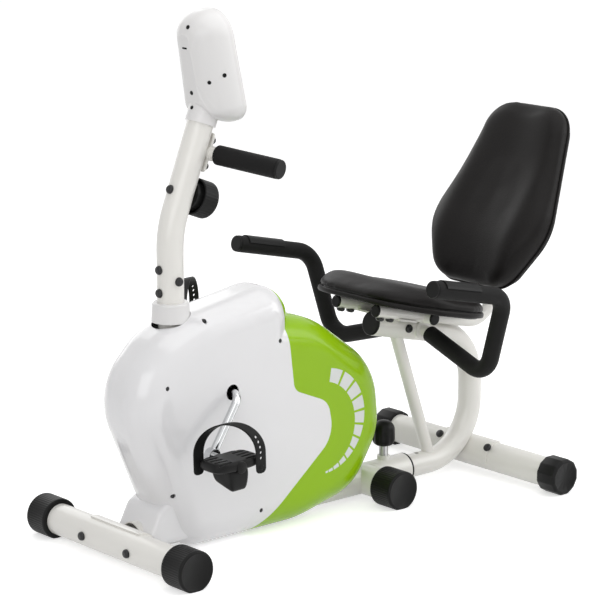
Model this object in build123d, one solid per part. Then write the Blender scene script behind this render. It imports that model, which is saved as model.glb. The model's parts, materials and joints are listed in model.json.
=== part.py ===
"""Compact recumbent exercise bike with a magnetic brake.

Millimetres. +X points to the rear of the bike, -Y to the rider's left side and +Z up.
The origin is on the floor, in the middle of the bike's box.
"""
from build123d import *
import math
import os

# Places along the bike, each measured from the front stabiliser's axis
front_x = -533.4
post_x = front_x + 131.0
crank_x = front_x + 218.0
flywheel_x = front_x + 430.0
middle_foot_x = front_x + 609.0
lock_x = front_x + 667.0
main_end_x = front_x + 720.0
rear_tube_x = front_x + 907.0
rear_foot_x = front_x + 916.0

# Stabilisers, feet and main tube
stabiliser_r = 30.0
tube_wall = 2.5
foot_z = 36.0
front_width = 468.0
middle_width = 240.0
rear_width = 530.0
cap_r = 39.0
cap_length = 56.0
cap_wall = 6.0
cap_edge = 4.0
rear_cap_sides = 12
rear_cap_length = 46.0
main_r = 30.0
saddle_thickness = 3.5
saddle_width = 146.0
saddle_top_angle = 100.0
saddle_low_angle = -20.0
snug = 0.1
running = 0.05
gap = 0.3

# Sliding rear frame
rear_r = 24.0
rear_bend = 118.0
rear_start_x = front_x + 480.0
rear_top_x = front_x + 632.0
rear_top_z = 349.0
seat_tilt = 13.5
strut_r = 12.5
strut_top_x = front_x + 691.0
strut_foot_x = front_x + 797.0
slide_pitch = 45.0
slide_holes_ahead = 2
slide_holes_behind = 2
bushing_length = 30.0
bushing_flange = 4.0
boss_r = 20.0
boss_width = 54.0
side_bolt_x = front_x + 710.0

# Pull pin that locks the slide
pin_r = 5.0
pin_lift = 1.5
barrel_r = 9.0
barrel_top = 98.0
boss_height = 7.0
lock_knob_r = 22.5
lock_knob_bottom = 94.0
lock_knob_top = 145.0
lock_travel = 12.0

# Seat, its frame and the backrest
seat_x = front_x + 708.0
seat_plane_z = 375.0
seat_length = 284.0
seat_width = 320.0
seat_corner = 112.0
seat_thickness = 46.0
seat_pan_thickness = 8.0
seat_pan_inset = 10.0
rail_r = 12.5
rail_wall = 2.0
rail_spacing = 114.0
rail_front = -117.0
cross_place = 16.0
cross_width = 170.0
back_tube_spacing = 60.0
back_tube_bend = 60.0
back_tube_reach = 235.0
back_x = front_x + 994.5
back_z = 566.0
back_lean = 27.2
back_height = 394.0
back_top_width = 196.0
back_mid_width = 316.0
back_low_width = 190.0
back_mid_height = -70.0
back_thickness = 50.0
back_shell_thickness = 6.0
back_shell_inset = 14.0

# Seat handles
handle_r = 11.0
foam_r = 17.0
handle_bend = 46.0
handle_x = front_x + 748.0
handle_straight = 36.0
handle_low = (front_x + 730.0, 221.6, 266.5)
handle_high = (front_x + 718.5, 279.0, 437.0)
handle_end = (front_x + 524.0, 284.0, 480.3)
sensor_start = 20.0
sensor_length = 95.0
sensor_thickness = 2.5
sensor_spread = 70.0

# Post, front handlebar and tension knob
post_r = 25.0
post_bottom = 468.0
post_bend_z = 600.0
post_top = 832.0
post_lean = 21.2
post_bend = 200.0
socket_top = 556.0
collar_r = 36.0
collar_bottom = 432.0
grip_bar_r = 11.0
grip_r = 18.5
grip_z = 746.5
grip_sweep = 16.5
grip_start = 28.0
grip_length = 137.0
grip_bend = 40.0
grip_stub = 22.0
clamp_width = 34.0
clamp_height = 74.0
clamp_thickness = 4.0
clamp_bolt = 24.5
knob_z = 668.6
knob_r = 35.0
knob_depth = 37.0
knob_wall = 3.0
knob_standoff = 30.0
knob_stem_r = 12.0
knob_base_r = 27.0
knob_base_depth = 15.0
post_screw_z = 667.0
bolt_r = 4.0
bolt_head_r = 8.5
bolt_head = 6.5

# Console
console_lean = 10.5
console_half_height = 105.0
console_low_width = 124.0
console_top_width = 104.0
console_low_corner = 34.0
console_top_corner = 50.0
console_back_depth = 64.0
console_back_lift = 8.0
console_front_depth = 14.0
console_front_edge = 8.0
console_wall = 3.0
neck_length = 50.0
neck_wall = 4.0
console_z = 895.0
console_x = front_x + 241.5
lens_width = 78.0
lens_height = 74.0
lens_corner = 8.0
lens_thickness = 2.0
lens_up = 30.0
button_r = 10.0
button_spacing = 30.0
button_down = 46.0
button_height = 4.0
button_travel = 1.5
button_flange = 1.6

# Casing
casing_half = 72.0
casing_edge = 58.0
casing_wall = 2.5
crank_hole_r = 15.0
screw_r = 4.0
screw_head = 2.5

# Drive inside the casing
crank_z = 295.0
crank_length = 128.0
crank_angle = 227.0
crank_rod_r = 8.0
crank_turn = 92.0
crank_end = 118.0
crank_bend = 26.0
crank_eye_r = 13.0
crank_eye_width = 16.0
shell_r = 21.0
shell_near = -44.0
shell_far = 20.0
shell_wall = 5.0
upright_r = 19.0
brace_r = 15.0
brace_z = 205.0
bearing_width = 9.0
pulley_r = 105.0
pulley_near = 27.0
pulley_far = 41.0
pulley_rim = 9.0
pulley_web = 5.0
pulley_hub_r = 22.0
pulley_holes = 5
small_pulley_r = 18.0
belt_thickness = 3.0
flywheel_z = 190.0
flywheel_r = 115.0
flywheel_near = -14.0
flywheel_far = 14.0
flywheel_rim = 20.0
flywheel_web = 10.0
axle_r = 6.0
bearing_r = 14.0
bracket_side = 29.0
bracket_thickness = 5.0
bracket_half = 24.0
brake_gap = 3.0
brake_bar = 6.0
magnet_thickness = 5.0
brake_pivot_angle = -36.0
brake_pivot_r = 138.0
brake_start = -12.0
brake_end = 66.0
brake_eye_r = 11.0
magnets = 4

# Pedals
pedal_length = 108.0
pedal_width = 68.0
pedal_height = 20.0
pedal_gap = 8.0
spindle_r = 6.0
pedal_slots = 3
strap_width = 22.0
strap_thickness = 2.6
strap_rise = 70.0
weight_height = 24.0
weight_length = 46.0
pedal_tilt = -8.5


def rod(start, end, radius):
    """Solid round bar from one point to another."""
    a, b = Vector(*start), Vector(*end)
    bar = Cylinder(radius, (b - a).length, align=(Align.CENTER, Align.CENTER, Align.MIN))
    return Plane(origin=a, z_dir=b - a) * bar


def pipe(start, end, radius, inner):
    """Straight tube from one point to another."""
    a, b = Vector(*start), Vector(*end)
    ring = Circle(radius) - Circle(inner)
    return Plane(origin=a, z_dir=b - a) * extrude(ring, amount=(b - a).length)


def bent(points, bend, radius, inner=0.0):
    """Round bar or tube along straight runs joined by arcs."""
    path = FilletPolyline(*points, radius=bend)
    section = Circle(radius) - Circle(inner) if inner else Circle(radius)
    return sweep(Plane(origin=path @ 0, z_dir=path % 0) * section, path=path)


def plate(corners, y_near, y_far):
    """Plate cut along an outline in the side view."""
    face = Plane.XZ * make_face(Polyline(*corners, close=True))
    return Pos(0, y_near, 0) * extrude(face, amount=-(y_far - y_near))


def slab(x_low, x_high, y_low, y_high, z_low, z_high):
    """Box between two corners."""
    box = Box(x_high - x_low, y_high - y_low, z_high - z_low, align=Align.MIN)
    return Pos(x_low, y_low, z_low) * box


def saddle(axis_x, middle_angle, radius):
    """Curved plate that hugs a stabiliser tube, its middle turned to an angle in the side view."""
    spread = (saddle_top_angle - saddle_low_angle) / 2
    ring = pipe((axis_x, -saddle_width / 2, foot_z), (axis_x, saddle_width / 2, foot_z),
                radius + saddle_thickness, radius)
    reach = 4 * radius
    sides = [middle_angle - spread, middle_angle, middle_angle + spread]
    fan = [(axis_x, foot_z)]
    for angle in sides:
        turn = math.radians(angle)
        fan.append((axis_x + reach * math.cos(turn), foot_z + reach * math.sin(turn)))
    return ring & plate(fan, -saddle_width, saddle_width)


def dome_bolt(place, outward, grip):
    """Round-headed bolt, its shank reaching back from the surface."""
    out = Vector(*outward).normalized()
    face = Vector(*place)
    head = rod(face, face + out * bolt_head, bolt_head_r)
    rim = head.edges().sort_by(Axis(face, out))[-1]
    head = fillet(rim, bolt_head * 0.8)
    return head + rod(face - out * grip, face, bolt_r)


def acorn(place, outward, grip):
    """Bolt with a tall domed nut, its shank reaching back from the surface."""
    out = Vector(*outward).normalized()
    face = Vector(*place)
    nut_r = bolt_head_r * 0.86
    head = rod(face, face + out * bolt_head * 2.4, nut_r)
    head = fillet(head.edges().sort_by(Axis(face, out))[-1], nut_r * 0.9)
    return head + rod(face, face + out * 2, bolt_head_r) + rod(face - out * grip, face, bolt_r)


def bolt_holes(bolts, grip):
    """Clearance holes for a list of bolts."""
    holes = []
    for place, outward in bolts:
        out = Vector(*outward).normalized()
        holes.append(rod(Vector(*place) - out * grip, Vector(*place) + out * grip, bolt_r + gap))
    return holes


def mirrored(solid):
    """The same solid on the other side of the bike."""
    return mirror(solid, about=Plane.XZ)


def foot_cap(axis_x, end_y):
    """Moulded cap over a tube's near end, flat where it stands on the floor."""
    cap = rod((axis_x, end_y, foot_z), (axis_x, end_y + cap_length, foot_z), cap_r)
    cap = fillet(cap.edges().group_by(Axis.Y)[0], cap_edge)
    bore = rod((axis_x, end_y + cap_wall, foot_z), (axis_x, end_y + cap_length, foot_z), stabiliser_r + snug)
    floor = slab(axis_x - cap_r, axis_x + cap_r, end_y, end_y + cap_length, foot_z - cap_r, 0)
    return cap - bore - floor


parts = {}

# Feet and main tube
seat_slope = math.tan(math.radians(seat_tilt))
main_start_x = front_x + stabiliser_r + saddle_thickness
main_bore = main_r - tube_wall
main_core = rod((main_start_x, 0, foot_z), (main_end_x, 0, foot_z), main_r)
main_top = foot_z + main_r
lock_boss = rod((lock_x, 0, foot_z), (lock_x, 0, main_top + boss_height), barrel_r + 4)
lock_hole = rod((lock_x, 0, foot_z), (lock_x, 0, barrel_top), pin_r + gap)
main_tube = main_core + lock_boss
main_tube -= rod((main_start_x, 0, foot_z), (main_end_x, 0, foot_z), main_bore)
parts["main_tube"] = main_tube - lock_hole

tube_end = front_width / 2 - cap_wall
front_bolts = []
for side in (-1, 1):
    front_bolts.append(((front_x - stabiliser_r, side * 68.0, foot_z), (-1, 0, 0)))
front_grip = 2 * stabiliser_r + saddle_thickness
front_tube = pipe((front_x, -tube_end, foot_z), (front_x, tube_end, foot_z), stabiliser_r, stabiliser_r - tube_wall)
front_saddle = saddle(front_x, (saddle_top_angle + saddle_low_angle) / 2, stabiliser_r)
for hole in bolt_holes(front_bolts, front_grip + gap):
    front_tube -= hole
    front_saddle -= hole
parts["front_stabiliser"] = front_tube
parts["front_saddle"] = front_saddle - main_core

foot = pipe((middle_foot_x, -middle_width / 2 + cap_wall, foot_z), (middle_foot_x, 0, foot_z),
            stabiliser_r, stabiliser_r - tube_wall) - main_core
parts["middle_foot"] = Compound(children=[foot, mirrored(foot)])
caps = [foot_cap(front_x, -front_width / 2), foot_cap(middle_foot_x, -middle_width / 2)]
parts["foot_caps"] = Compound(children=caps + [mirrored(cap) for cap in caps])

bushing = pipe((main_end_x - bushing_length, 0, foot_z), (main_end_x, 0, foot_z), main_bore - snug, rear_r + running)
bushing += pipe((main_end_x, 0, foot_z), (main_end_x + bushing_flange, 0, foot_z), main_r, rear_r + running)
parts["slide_bushing"] = bushing

# Pull pin
barrel_bottom = main_top + boss_height
barrel = pipe((lock_x, 0, barrel_bottom), (lock_x, 0, barrel_top), barrel_r, pin_r + running)
parts["lock_barrel"] = barrel
knob = rod((lock_x, 0, lock_knob_bottom), (lock_x, 0, lock_knob_top), lock_knob_r)
knob = fillet(knob.edges().group_by(Axis.Z)[-1], lock_knob_r * 0.62)
knob = fillet(knob.edges().group_by(Axis.Z)[0], lock_knob_r * 0.35)
socket = rod((lock_x, 0, lock_knob_bottom), (lock_x, 0, barrel_top + lock_travel + 2), barrel_r + gap)
pin_tip = foot_z + rear_r + pin_lift
pin = rod((lock_x, 0, pin_tip), (lock_x, 0, barrel_top + lock_travel + 2), pin_r)
parts["lock_knob"] = knob - socket + pin

# Sliding rear frame
rear_top_height = rear_top_z + (rear_top_x - rear_tube_x) * seat_slope
rear_path = [(rear_start_x, 0, foot_z), (rear_tube_x, 0, foot_z), (rear_tube_x, 0, rear_top_height),
             (rear_top_x, 0, rear_top_z)]
handle_z = rear_top_z - (handle_x - rear_top_x) * seat_slope
rear_solid = bent(rear_path, rear_bend, rear_r)
boss = rod((handle_x, -boss_width / 2, handle_z), (handle_x, boss_width / 2, handle_z), boss_r)
handle_bore = rod((handle_x, -boss_width, handle_z), (handle_x, boss_width, handle_z), handle_r + snug)
rear_tube = bent(rear_path, rear_bend, rear_r, rear_r - tube_wall) + (boss - rear_solid)
rear_tube -= handle_bore
for step in range(-slide_holes_behind, slide_holes_ahead + 1):
    x = lock_x + step * slide_pitch
    rear_tube -= rod((x, 0, foot_z), (x, 0, foot_z + 2 * rear_r), pin_r + gap)
side_bolts = []
for side in (-1, 1):
    side_z = rear_top_z - (side_bolt_x - rear_top_x) * seat_slope
    side_bolts.append(((side_bolt_x, side * rear_r, side_z), (0, side, 0)))
for hole in bolt_holes(side_bolts, rear_r / 2):
    rear_tube -= hole
parts["rear_tube"] = rear_tube
strut_top_z = rear_top_z - (strut_top_x - rear_top_x) * seat_slope
strut = pipe((strut_top_x, 0, strut_top_z), (strut_foot_x, 0, foot_z), strut_r, strut_r - rail_wall)
parts["rear_strut"] = strut - rear_solid - boss

rear_tube_end = rear_width / 2 - cap_wall
rear_angle = 135.0
rear_turn = math.radians(rear_angle)
rear_out = (math.cos(rear_turn), 0, math.sin(rear_turn))
rear_stabiliser = pipe((rear_foot_x, -rear_tube_end, foot_z), (rear_foot_x, rear_tube_end, foot_z),
                       stabiliser_r, stabiliser_r - tube_wall)
rear_saddle = saddle(rear_foot_x, rear_angle, stabiliser_r) - rear_solid
rear_bolts = []
bolt_seat = stabiliser_r + saddle_thickness
for side in (-1, 1):
    place = (rear_foot_x + bolt_seat * rear_out[0], side * 69.5, foot_z + bolt_seat * rear_out[2])
    rear_bolts.append((place, rear_out))
for hole in bolt_holes(rear_bolts, stabiliser_r):
    rear_stabiliser -= hole
    rear_saddle -= hole
parts["rear_stabiliser"] = rear_stabiliser - rear_solid
parts["rear_saddle"] = rear_saddle
rear_cap_face = Plane.XZ * RegularPolygon(foot_z, rear_cap_sides, major_radius=False, rotation=180 / rear_cap_sides)
rear_cap = Pos(rear_foot_x, -rear_width / 2, foot_z) * extrude(rear_cap_face, amount=-rear_cap_length)
rear_cap = chamfer(rear_cap.edges().group_by(Axis.Y)[0], cap_edge)
rear_cap -= rod((rear_foot_x, cap_wall - rear_width / 2, foot_z), (rear_foot_x, 0, foot_z), stabiliser_r + snug)
parts["rear_caps"] = Compound(children=[rear_cap, mirrored(rear_cap)])

# Seat frame, seat and backrest
seat_plane = Plane(origin=(seat_x, 0, seat_plane_z),
                   x_dir=(math.cos(math.radians(seat_tilt)), 0, -math.sin(math.radians(seat_tilt))),
                   z_dir=(math.sin(math.radians(seat_tilt)), 0, math.cos(math.radians(seat_tilt))))
lean = math.radians(back_lean)
back_plane = Plane(origin=(back_x, 0, back_z), x_dir=(0, -1, 0), z_dir=(-math.cos(lean), 0, math.sin(lean)))


def on_seat(x, y, z):
    """Point given in the seat's own tilted frame."""
    return seat_plane.from_local_coords(Vector(x, y, z))


rail_y = rail_spacing / 2
cross = on_seat(cross_place, 0, -rail_r)
tube_back = back_plane.from_local_coords(Vector(0, 0, -back_thickness / 2 - back_shell_thickness - rail_r))
drop = seat_slope
rise = math.tan(lean)
corner_z = (cross.Z - drop * (tube_back.X - rise * tube_back.Z - cross.X)) / (1 + drop * rise)
corner_x = tube_back.X + rise * (corner_z - tube_back.Z)
tip = (corner_x + back_tube_reach * math.sin(lean), corner_z + back_tube_reach * math.cos(lean))
def frame_core(radius):
    """Every bar of the seat frame, all at one radius."""
    core = rod(on_seat(cross_place, -cross_width / 2, -rail_r), on_seat(cross_place, cross_width / 2, -rail_r), radius)
    for side in (-1, 1):
        y = side * rail_y
        core += rod(on_seat(rail_front, y, -rail_r), on_seat(cross_place, y, -rail_r), radius)
        y = side * back_tube_spacing / 2
        core += bent([(cross.X, y, cross.Z), (corner_x, y, corner_z), (tip[0], y, tip[1])], back_tube_bend, radius)
    return core


front_plate = Pos(rail_front + 80, 0, 1 - 2 * rail_r) * Box(46, rail_spacing + 2 * rail_r, 4)
seat_frame = frame_core(rail_r) + seat_plane * front_plate - frame_core(rail_r - rail_wall)
seat_bolts = []
for along in (rail_front + 14, rail_front + 40):
    for side in (-1, 1):
        seat_bolts.append((on_seat(along, side * rail_y, -2 * rail_r), -seat_plane.z_dir))
for hole in bolt_holes(seat_bolts, 6):
    seat_frame -= hole
parts["seat_frame"] = seat_frame - rear_solid - boss

seat_outline = RectangleRounded(seat_length, seat_width, seat_corner)
pan = extrude(offset(seat_outline, amount=-seat_pan_inset), amount=seat_pan_thickness)
pan = fillet(pan.edges().group_by(Axis.Z)[0], seat_pan_thickness * 0.6)
parts["seat_pan"] = seat_plane * pan


def cushion(outline, thickness, shrink_low, shrink_top):
    """Padded form: drawn in at its base, full at its side and crowned on top."""
    levels = [(0.0, shrink_low), (0.3, 0.0), (0.62, shrink_top * 0.12), (0.86, shrink_top * 0.45), (1.0, shrink_top)]
    faces = []
    for share, shrink in levels:
        face = offset(outline, amount=-shrink) if shrink else outline
        faces.append(Pos(0, 0, share * thickness) * face)
    return loft(faces)


parts["seat_pad"] = seat_plane * Pos(0, 0, seat_pan_thickness) * cushion(seat_outline, seat_thickness, 5.0, 50.0)

half = back_height / 2
side_points = [(back_low_width / 2, -half), (back_mid_width / 2, back_mid_height), (back_top_width / 2, half)]
corners = side_points + [(-x, y) for x, y in reversed(side_points)]
back_corners = [62.0, 130.0, 66.0]
back_outline = make_face(FilletPolyline(*corners, radius=back_corners + back_corners[::-1], close=True))
back_base = Pos(0, 0, -back_thickness / 2)
shell = extrude(offset(back_outline, amount=-back_shell_inset), amount=-back_shell_thickness)
parts["back_shell"] = back_plane * back_base * shell
parts["back_pad"] = back_plane * back_base * cushion(back_outline, back_thickness, 6.0, 44.0)

bolts = [dome_bolt(place, out, stabiliser_r * 0.8) for place, out in rear_bolts]
bolts += [dome_bolt(place, out, rail_wall) for place, out in seat_bolts + side_bolts]
parts["rear_bolts"] = Compound(children=bolts)

# Seat handles
handle_points = [handle_end, handle_high, handle_low, (handle_x, handle_straight, handle_z)]
near_side = [(x, -y, z) for x, y, z in handle_points]
parts["seat_handle"] = bent(near_side + handle_points[::-1], handle_bend, handle_r, handle_r - rail_wall)
foam_start = Vector(handle_x, handle_straight, handle_z) + \
    (Vector(*handle_low) - Vector(handle_x, handle_straight, handle_z)).normalized() * 9
foam = bent([foam_start, handle_low, handle_high, handle_end], handle_bend, foam_r, handle_r)
parts["handle_foam"] = Compound(children=[foam, mirrored(foam)])
grip_dir = (Vector(*handle_high) - Vector(*handle_end)).normalized()
plug_end = Vector(*handle_end) - grip_dir * 3
handle_plug = rod(plug_end, handle_end, foam_r - 0.5)
handle_plug = fillet(handle_plug.edges().sort_by(Axis(plug_end, grip_dir))[0], 2)


def tube_plug(center, outward, radius):
    """Domed plug on an open tube's end."""
    out = Vector(*outward).normalized()
    head = rod(center, Vector(*center) + out * 4, radius)
    return fillet(head.edges().sort_by(Axis(center, out))[-1], 3)


plugs = [handle_plug, mirrored(handle_plug)]
rear_end = Vector(rear_top_x, 0, rear_top_z)
plugs.append(tube_plug(rear_end, (-math.cos(math.radians(seat_tilt)), 0, math.sin(math.radians(seat_tilt))), rear_r))
for side in (-1, 1):
    plugs.append(tube_plug(on_seat(rail_front, side * rail_y, -rail_r), -seat_plane.x_dir, rail_r))
    plugs.append(tube_plug(on_seat(cross_place, side * cross_width / 2, -rail_r), (0, side, 0), rail_r))
    up = (math.sin(lean), 0, math.cos(lean))
    plugs.append(tube_plug((tip[0], side * back_tube_spacing / 2, tip[1]), up, rail_r))
parts["tube_plugs"] = Compound(children=plugs)

sensor_plane = Plane(origin=Vector(*handle_end) + grip_dir * sensor_start, z_dir=grip_dir, x_dir=(0, 1, 0))
sensor_ring = extrude(Circle(foam_r + sensor_thickness) - Circle(foam_r), amount=sensor_length)
reach = 3 * foam_r
wedge_x = reach * math.sin(math.radians(sensor_spread))
wedge_y = reach * math.cos(math.radians(sensor_spread))
up_sign = 1 if sensor_plane.y_dir.Z > 0 else -1
wedge = make_face(Polyline((0, 0), (wedge_x, up_sign * wedge_y), (0, up_sign * reach), (-wedge_x, up_sign * wedge_y),
                           close=True))
sensor = sensor_plane * (sensor_ring & extrude(wedge, amount=sensor_length))
parts["pulse_sensors"] = Compound(children=[sensor, mirrored(sensor)])

# Post, collar and front handlebar
lean_tan = math.tan(math.radians(post_lean))
lean_dir = Vector(math.sin(math.radians(post_lean)), 0, math.cos(math.radians(post_lean)))
back_dir = Vector(math.cos(math.radians(post_lean)), 0, -math.sin(math.radians(post_lean)))


def post_axis(z):
    """Point on the post's leaning axis at a height."""
    return Vector(post_x + (z - post_bend_z) * lean_tan, 0, z)


post_points = [(post_x, 0, post_bottom), (post_x, 0, post_bend_z), post_axis(post_top)]
post = bent(post_points, post_bend, post_r, post_r - 2)
post_solid = bent(post_points, post_bend, post_r)
socket_r = post_r - 2 - snug
parts["post_socket"] = pipe((post_x, 0, foot_z), (post_x, 0, socket_top), socket_r, socket_r - tube_wall) - main_core
collar = Pos(post_x, 0, collar_bottom) * Cone(collar_r, collar_r - 2, post_bottom - collar_bottom,
                                              align=(Align.CENTER, Align.CENTER, Align.MIN))
collar = fillet(collar.edges().group_by(Axis.Z)[-1], 4)
parts["post_collar"] = collar - rod((post_x, 0, foot_z), (post_x, 0, post_top), socket_r + snug)

bar_axis = post_axis(grip_z) + back_dir * (post_r + grip_bar_r - 3)
sweep_turn = math.radians(grip_sweep)
grip_out = back_dir * math.sin(sweep_turn) - Vector(0, math.cos(sweep_turn), 0)
grip_root = bar_axis - Vector(0, grip_start * 0.6, 0)
grip_end = grip_root + grip_out * (grip_start * 0.4 + grip_length)
bar_stub = bar_axis + Vector(0, grip_stub, 0)
bar_points = [bar_stub, grip_root, grip_end]
clamp_plane = Plane(origin=post_axis(grip_z) + back_dir * (post_r + clamp_thickness / 2), x_dir=(0, 1, 0), z_dir=back_dir)
clamp = Box(clamp_width, clamp_height, clamp_thickness)
clamp = clamp_plane * fillet(clamp.edges().filter_by(Axis.Z), 8)
clamp += rod(bar_axis - Vector(0, clamp_width / 2, 0), bar_axis + Vector(0, clamp_width / 2, 0), grip_bar_r + 3)
clamp -= bent(bar_points, grip_bend, grip_bar_r)
handlebar = bent(bar_points, grip_bend, grip_bar_r, grip_bar_r - rail_wall) + clamp
handlebar -= post_solid
parts["handlebar_grip"] = pipe(grip_end - grip_out * grip_length, grip_end, grip_r, grip_bar_r)
parts["handlebar_plugs"] = Compound(children=[tube_plug(grip_end, grip_out, grip_r - 0.5),
                                              tube_plug(bar_stub, (0, 1, 0), grip_bar_r)])

post_bolts = [((post_x - post_r, 0, 530.0), (-1, 0, 0)), ((post_x - post_r, 0, 487.0), (-1, 0, 0)),
              ((post_x, -post_r, 509.0), (0, -1, 0))]
post_screw = post_axis(post_screw_z) - back_dir * post_r
bar_bolts = []
for along in (-clamp_bolt, clamp_bolt):
    bar_bolts.append((post_axis(grip_z) + lean_dir * along + back_dir * (post_r + clamp_thickness), back_dir))
for hole in bolt_holes(post_bolts + bar_bolts + [(post_screw, -back_dir)], 12):
    post -= hole
    handlebar -= hole
    parts["post_socket"] -= hole
parts["post"] = post
parts["handlebar"] = handlebar
front_set = [dome_bolt(place, out, front_grip) for place, out in front_bolts]
front_set += [dome_bolt(place, out, 8) for place, out in post_bolts + [(post_screw, -back_dir)]]
front_set += [acorn(place, out, 10) for place, out in bar_bolts]
parts["frame_bolts"] = Compound(children=front_set)

# Tension knob
knob_face = post_axis(knob_z) + back_dir * post_r
base = rod(knob_face - back_dir * 6, knob_face + back_dir * knob_base_depth, knob_base_r)
base = fillet(base.edges().sort_by(Axis(knob_face, back_dir))[-1], 3)
stem = rod(knob_face, knob_face + back_dir * (knob_standoff - post_r + knob_depth * 0.6), knob_stem_r)
parts["tension_base"] = base + stem - post_solid
knob_start = post_axis(knob_z) + back_dir * knob_standoff
knob_stop = knob_start + back_dir * knob_depth
cup = rod(knob_start, knob_stop, knob_r)
cup = fillet(cup.edges().sort_by(Axis(knob_start, back_dir))[-1], 7)
hollow = rod(knob_start, knob_stop - back_dir * knob_wall, knob_r - knob_wall)
hub = pipe(knob_start + back_dir * 14, knob_stop - back_dir * knob_wall, knob_stem_r + 4, knob_stem_r + gap)
parts["tension_knob"] = cup - hollow + hub

# Console
tilt = math.radians(console_lean)
console_plane = Plane(origin=(console_x, 0, console_z), x_dir=(0, 1, 0), z_dir=(math.cos(tilt), 0, math.sin(tilt)))
low, high = console_low_width / 2, console_top_width / 2
console_points = [(-low, -console_half_height), (low, -console_half_height), (high, console_half_height),
                  (-high, console_half_height)]
console_radii = [console_low_corner, console_low_corner, console_top_corner, console_top_corner]
console_face = make_face(FilletPolyline(*console_points, radius=console_radii, close=True))


def on_console(x, y, z):
    """Point in the console's own frame, z towards the rider."""
    return console_plane.from_local_coords(Vector(x, y, z))


def console_dome(inset):
    """Back of the console: its outline drawn in more and more towards the front, like half an egg."""
    levels = [(0.0, 0.0), (0.27, 0.02), (0.53, 0.13), (0.76, 0.33), (0.91, 0.57), (1.0, 0.80)]
    depth = console_back_depth - inset
    faces = []
    for share, drawn in levels:
        shrink = inset + drawn * high
        faces.append(Pos(0, share * console_back_lift, -share * depth) * (offset(console_face, amount=-shrink) if shrink else console_face))
    return loft(faces)


inner_face = offset(console_face, amount=-console_wall)
back_form = console_dome(0)
back_inner = console_dome(console_wall)
neck_end = post_axis(post_top) + lean_dir * neck_wall
neck = rod(neck_end - lean_dir * neck_length, neck_end, post_r + neck_wall)
neck = fillet(neck.edges().sort_by(Axis(neck_end, lean_dir))[-1], neck_wall * 2)
console_back = console_plane * (back_form - back_inner) + neck
console_back -= rod(post_axis(post_bend_z + post_bend * 0.3), post_axis(post_top), post_r)
parts["console_back"] = console_back
front_form = extrude(console_face, amount=console_front_depth)
front_form = fillet(front_form.edges().group_by(Axis.Z)[-1], console_front_edge)
front_form -= extrude(inner_face, amount=console_front_depth - console_wall - 2)
lens_face = RectangleRounded(lens_width, lens_height, lens_corner)
lens_pocket = Pos(0, lens_up, console_front_depth - lens_thickness) * extrude(lens_face, amount=lens_thickness)
front_form -= lens_pocket
lens = Pos(0, lens_up, console_front_depth - lens_thickness) * extrude(offset(lens_face, amount=-gap), amount=lens_thickness)
parts["console_lens"] = console_plane * lens
button_z = console_front_depth
for place in (-1, 0, 1):
    center = Pos(place * button_spacing, -button_down, 0)
    front_form -= center * Cylinder(button_r + gap, 3 * console_front_depth)
    stem_low = console_front_depth - console_wall - 2 - gap
    button = Pos(0, 0, stem_low) * Cylinder(button_r, button_z + button_height - stem_low,
                                            align=(Align.CENTER, Align.CENTER, Align.MIN))
    button = fillet(button.edges().group_by(Axis.Z)[-1], 2)
    flange = Pos(0, 0, stem_low - button_flange) * Cylinder(button_r + 2.5, button_flange,
                                                            align=(Align.CENTER, Align.CENTER, Align.MIN))
    parts[f"button_{place + 2}"] = console_plane * center * (button + flange)
parts["console_front"] = console_plane * front_form

# Casing
white_corners = [((-24, 316), 128), ((74, 415), 130), ((153, 446), 200), ((384, 485), 60), ((356, 2), 110),
                 ((111, 2), 80)]
green_corners = [((190, 452), 80), ((450, 396), 220), ((604, 283), 140), ((618, 150), 120), ((546, 36), 120),
                 ((400, 2), 250), ((190, 2), 80)]
split_corners = [((336, 540), 1), ((369, 272), 25), ((455, 236), 40), ((468, 165), 60), ((240, -20), 1),
                 ((-60, -20), 1), ((-60, 540), 1)]


def outline(corners):
    """Closed side-view outline of straight runs and arcs, measured from the front stabiliser."""
    points = [(front_x + x, z) for (x, z), _ in corners]
    return make_face(FilletPolyline(*points, radius=[r for _, r in corners], close=True))


def casing_form(corners, inset):
    """Casing body with rolled edges, shrunk by an inset on every side."""
    face = outline(corners)
    if inset:
        face = offset(face, amount=-inset)
    depth = casing_half - inset
    body = extrude(Plane.XZ * face, amount=depth, both=True)
    rim = body.edges().filter_by(lambda edge: abs(abs(edge.center().Y) - depth) < 0.01)
    return fillet(rim, casing_edge - inset)


casing_outer = casing_form(white_corners, 0) + casing_form(green_corners, 0)
casing_inner = casing_form(white_corners, casing_wall) + casing_form(green_corners, casing_wall)
casing = casing_outer - casing_inner
casing -= rod((front_x, 0, foot_z), (main_end_x, 0, foot_z), main_r + gap)
belly = main_r * 0.85
casing -= slab(front_x, main_end_x, -belly, belly, -cap_r, foot_z)
casing -= rod((crank_x, -2 * casing_half, crank_z), (crank_x, 2 * casing_half, crank_z), crank_hole_r)
casing -= rod((post_x, 0, collar_bottom - 20), (post_x, 0, post_top), collar_r + gap)
screw_places = [(169, 434), (66, 328), (335, 374), (85, 119), (286, 53)]
screws = []
for x, z in screw_places:
    start = (front_x + x, -casing_half - 20, z)
    stop = (front_x + x, 0, z)
    hit = rod(start, stop, screw_r / 8) & casing
    face_y = hit.bounding_box().min.Y
    seat_y = face_y + 1.5
    pocket = rod(start, (front_x + x, seat_y + casing_wall + 8, z), screw_r + gap)
    casing = casing - pocket - mirrored(pocket)
    head = rod((front_x + x, seat_y, z), (front_x + x, seat_y + screw_head, z), screw_r)
    screws.append(head)
white_region = extrude(Plane.XZ * outline(split_corners), amount=2 * casing_half, both=True)
white = casing & white_region
green = casing - white_region
reach = 3 * casing_half
near_half = slab(front_x - 200, rear_foot_x, -reach, -snug / 2, -reach, post_top)
far_half = mirrored(near_half)
parts["casing_left"] = white & near_half
parts["casing_right"] = white & far_half
parts["green_cover_left"] = green & near_half
parts["green_cover_right"] = green & far_half
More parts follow.
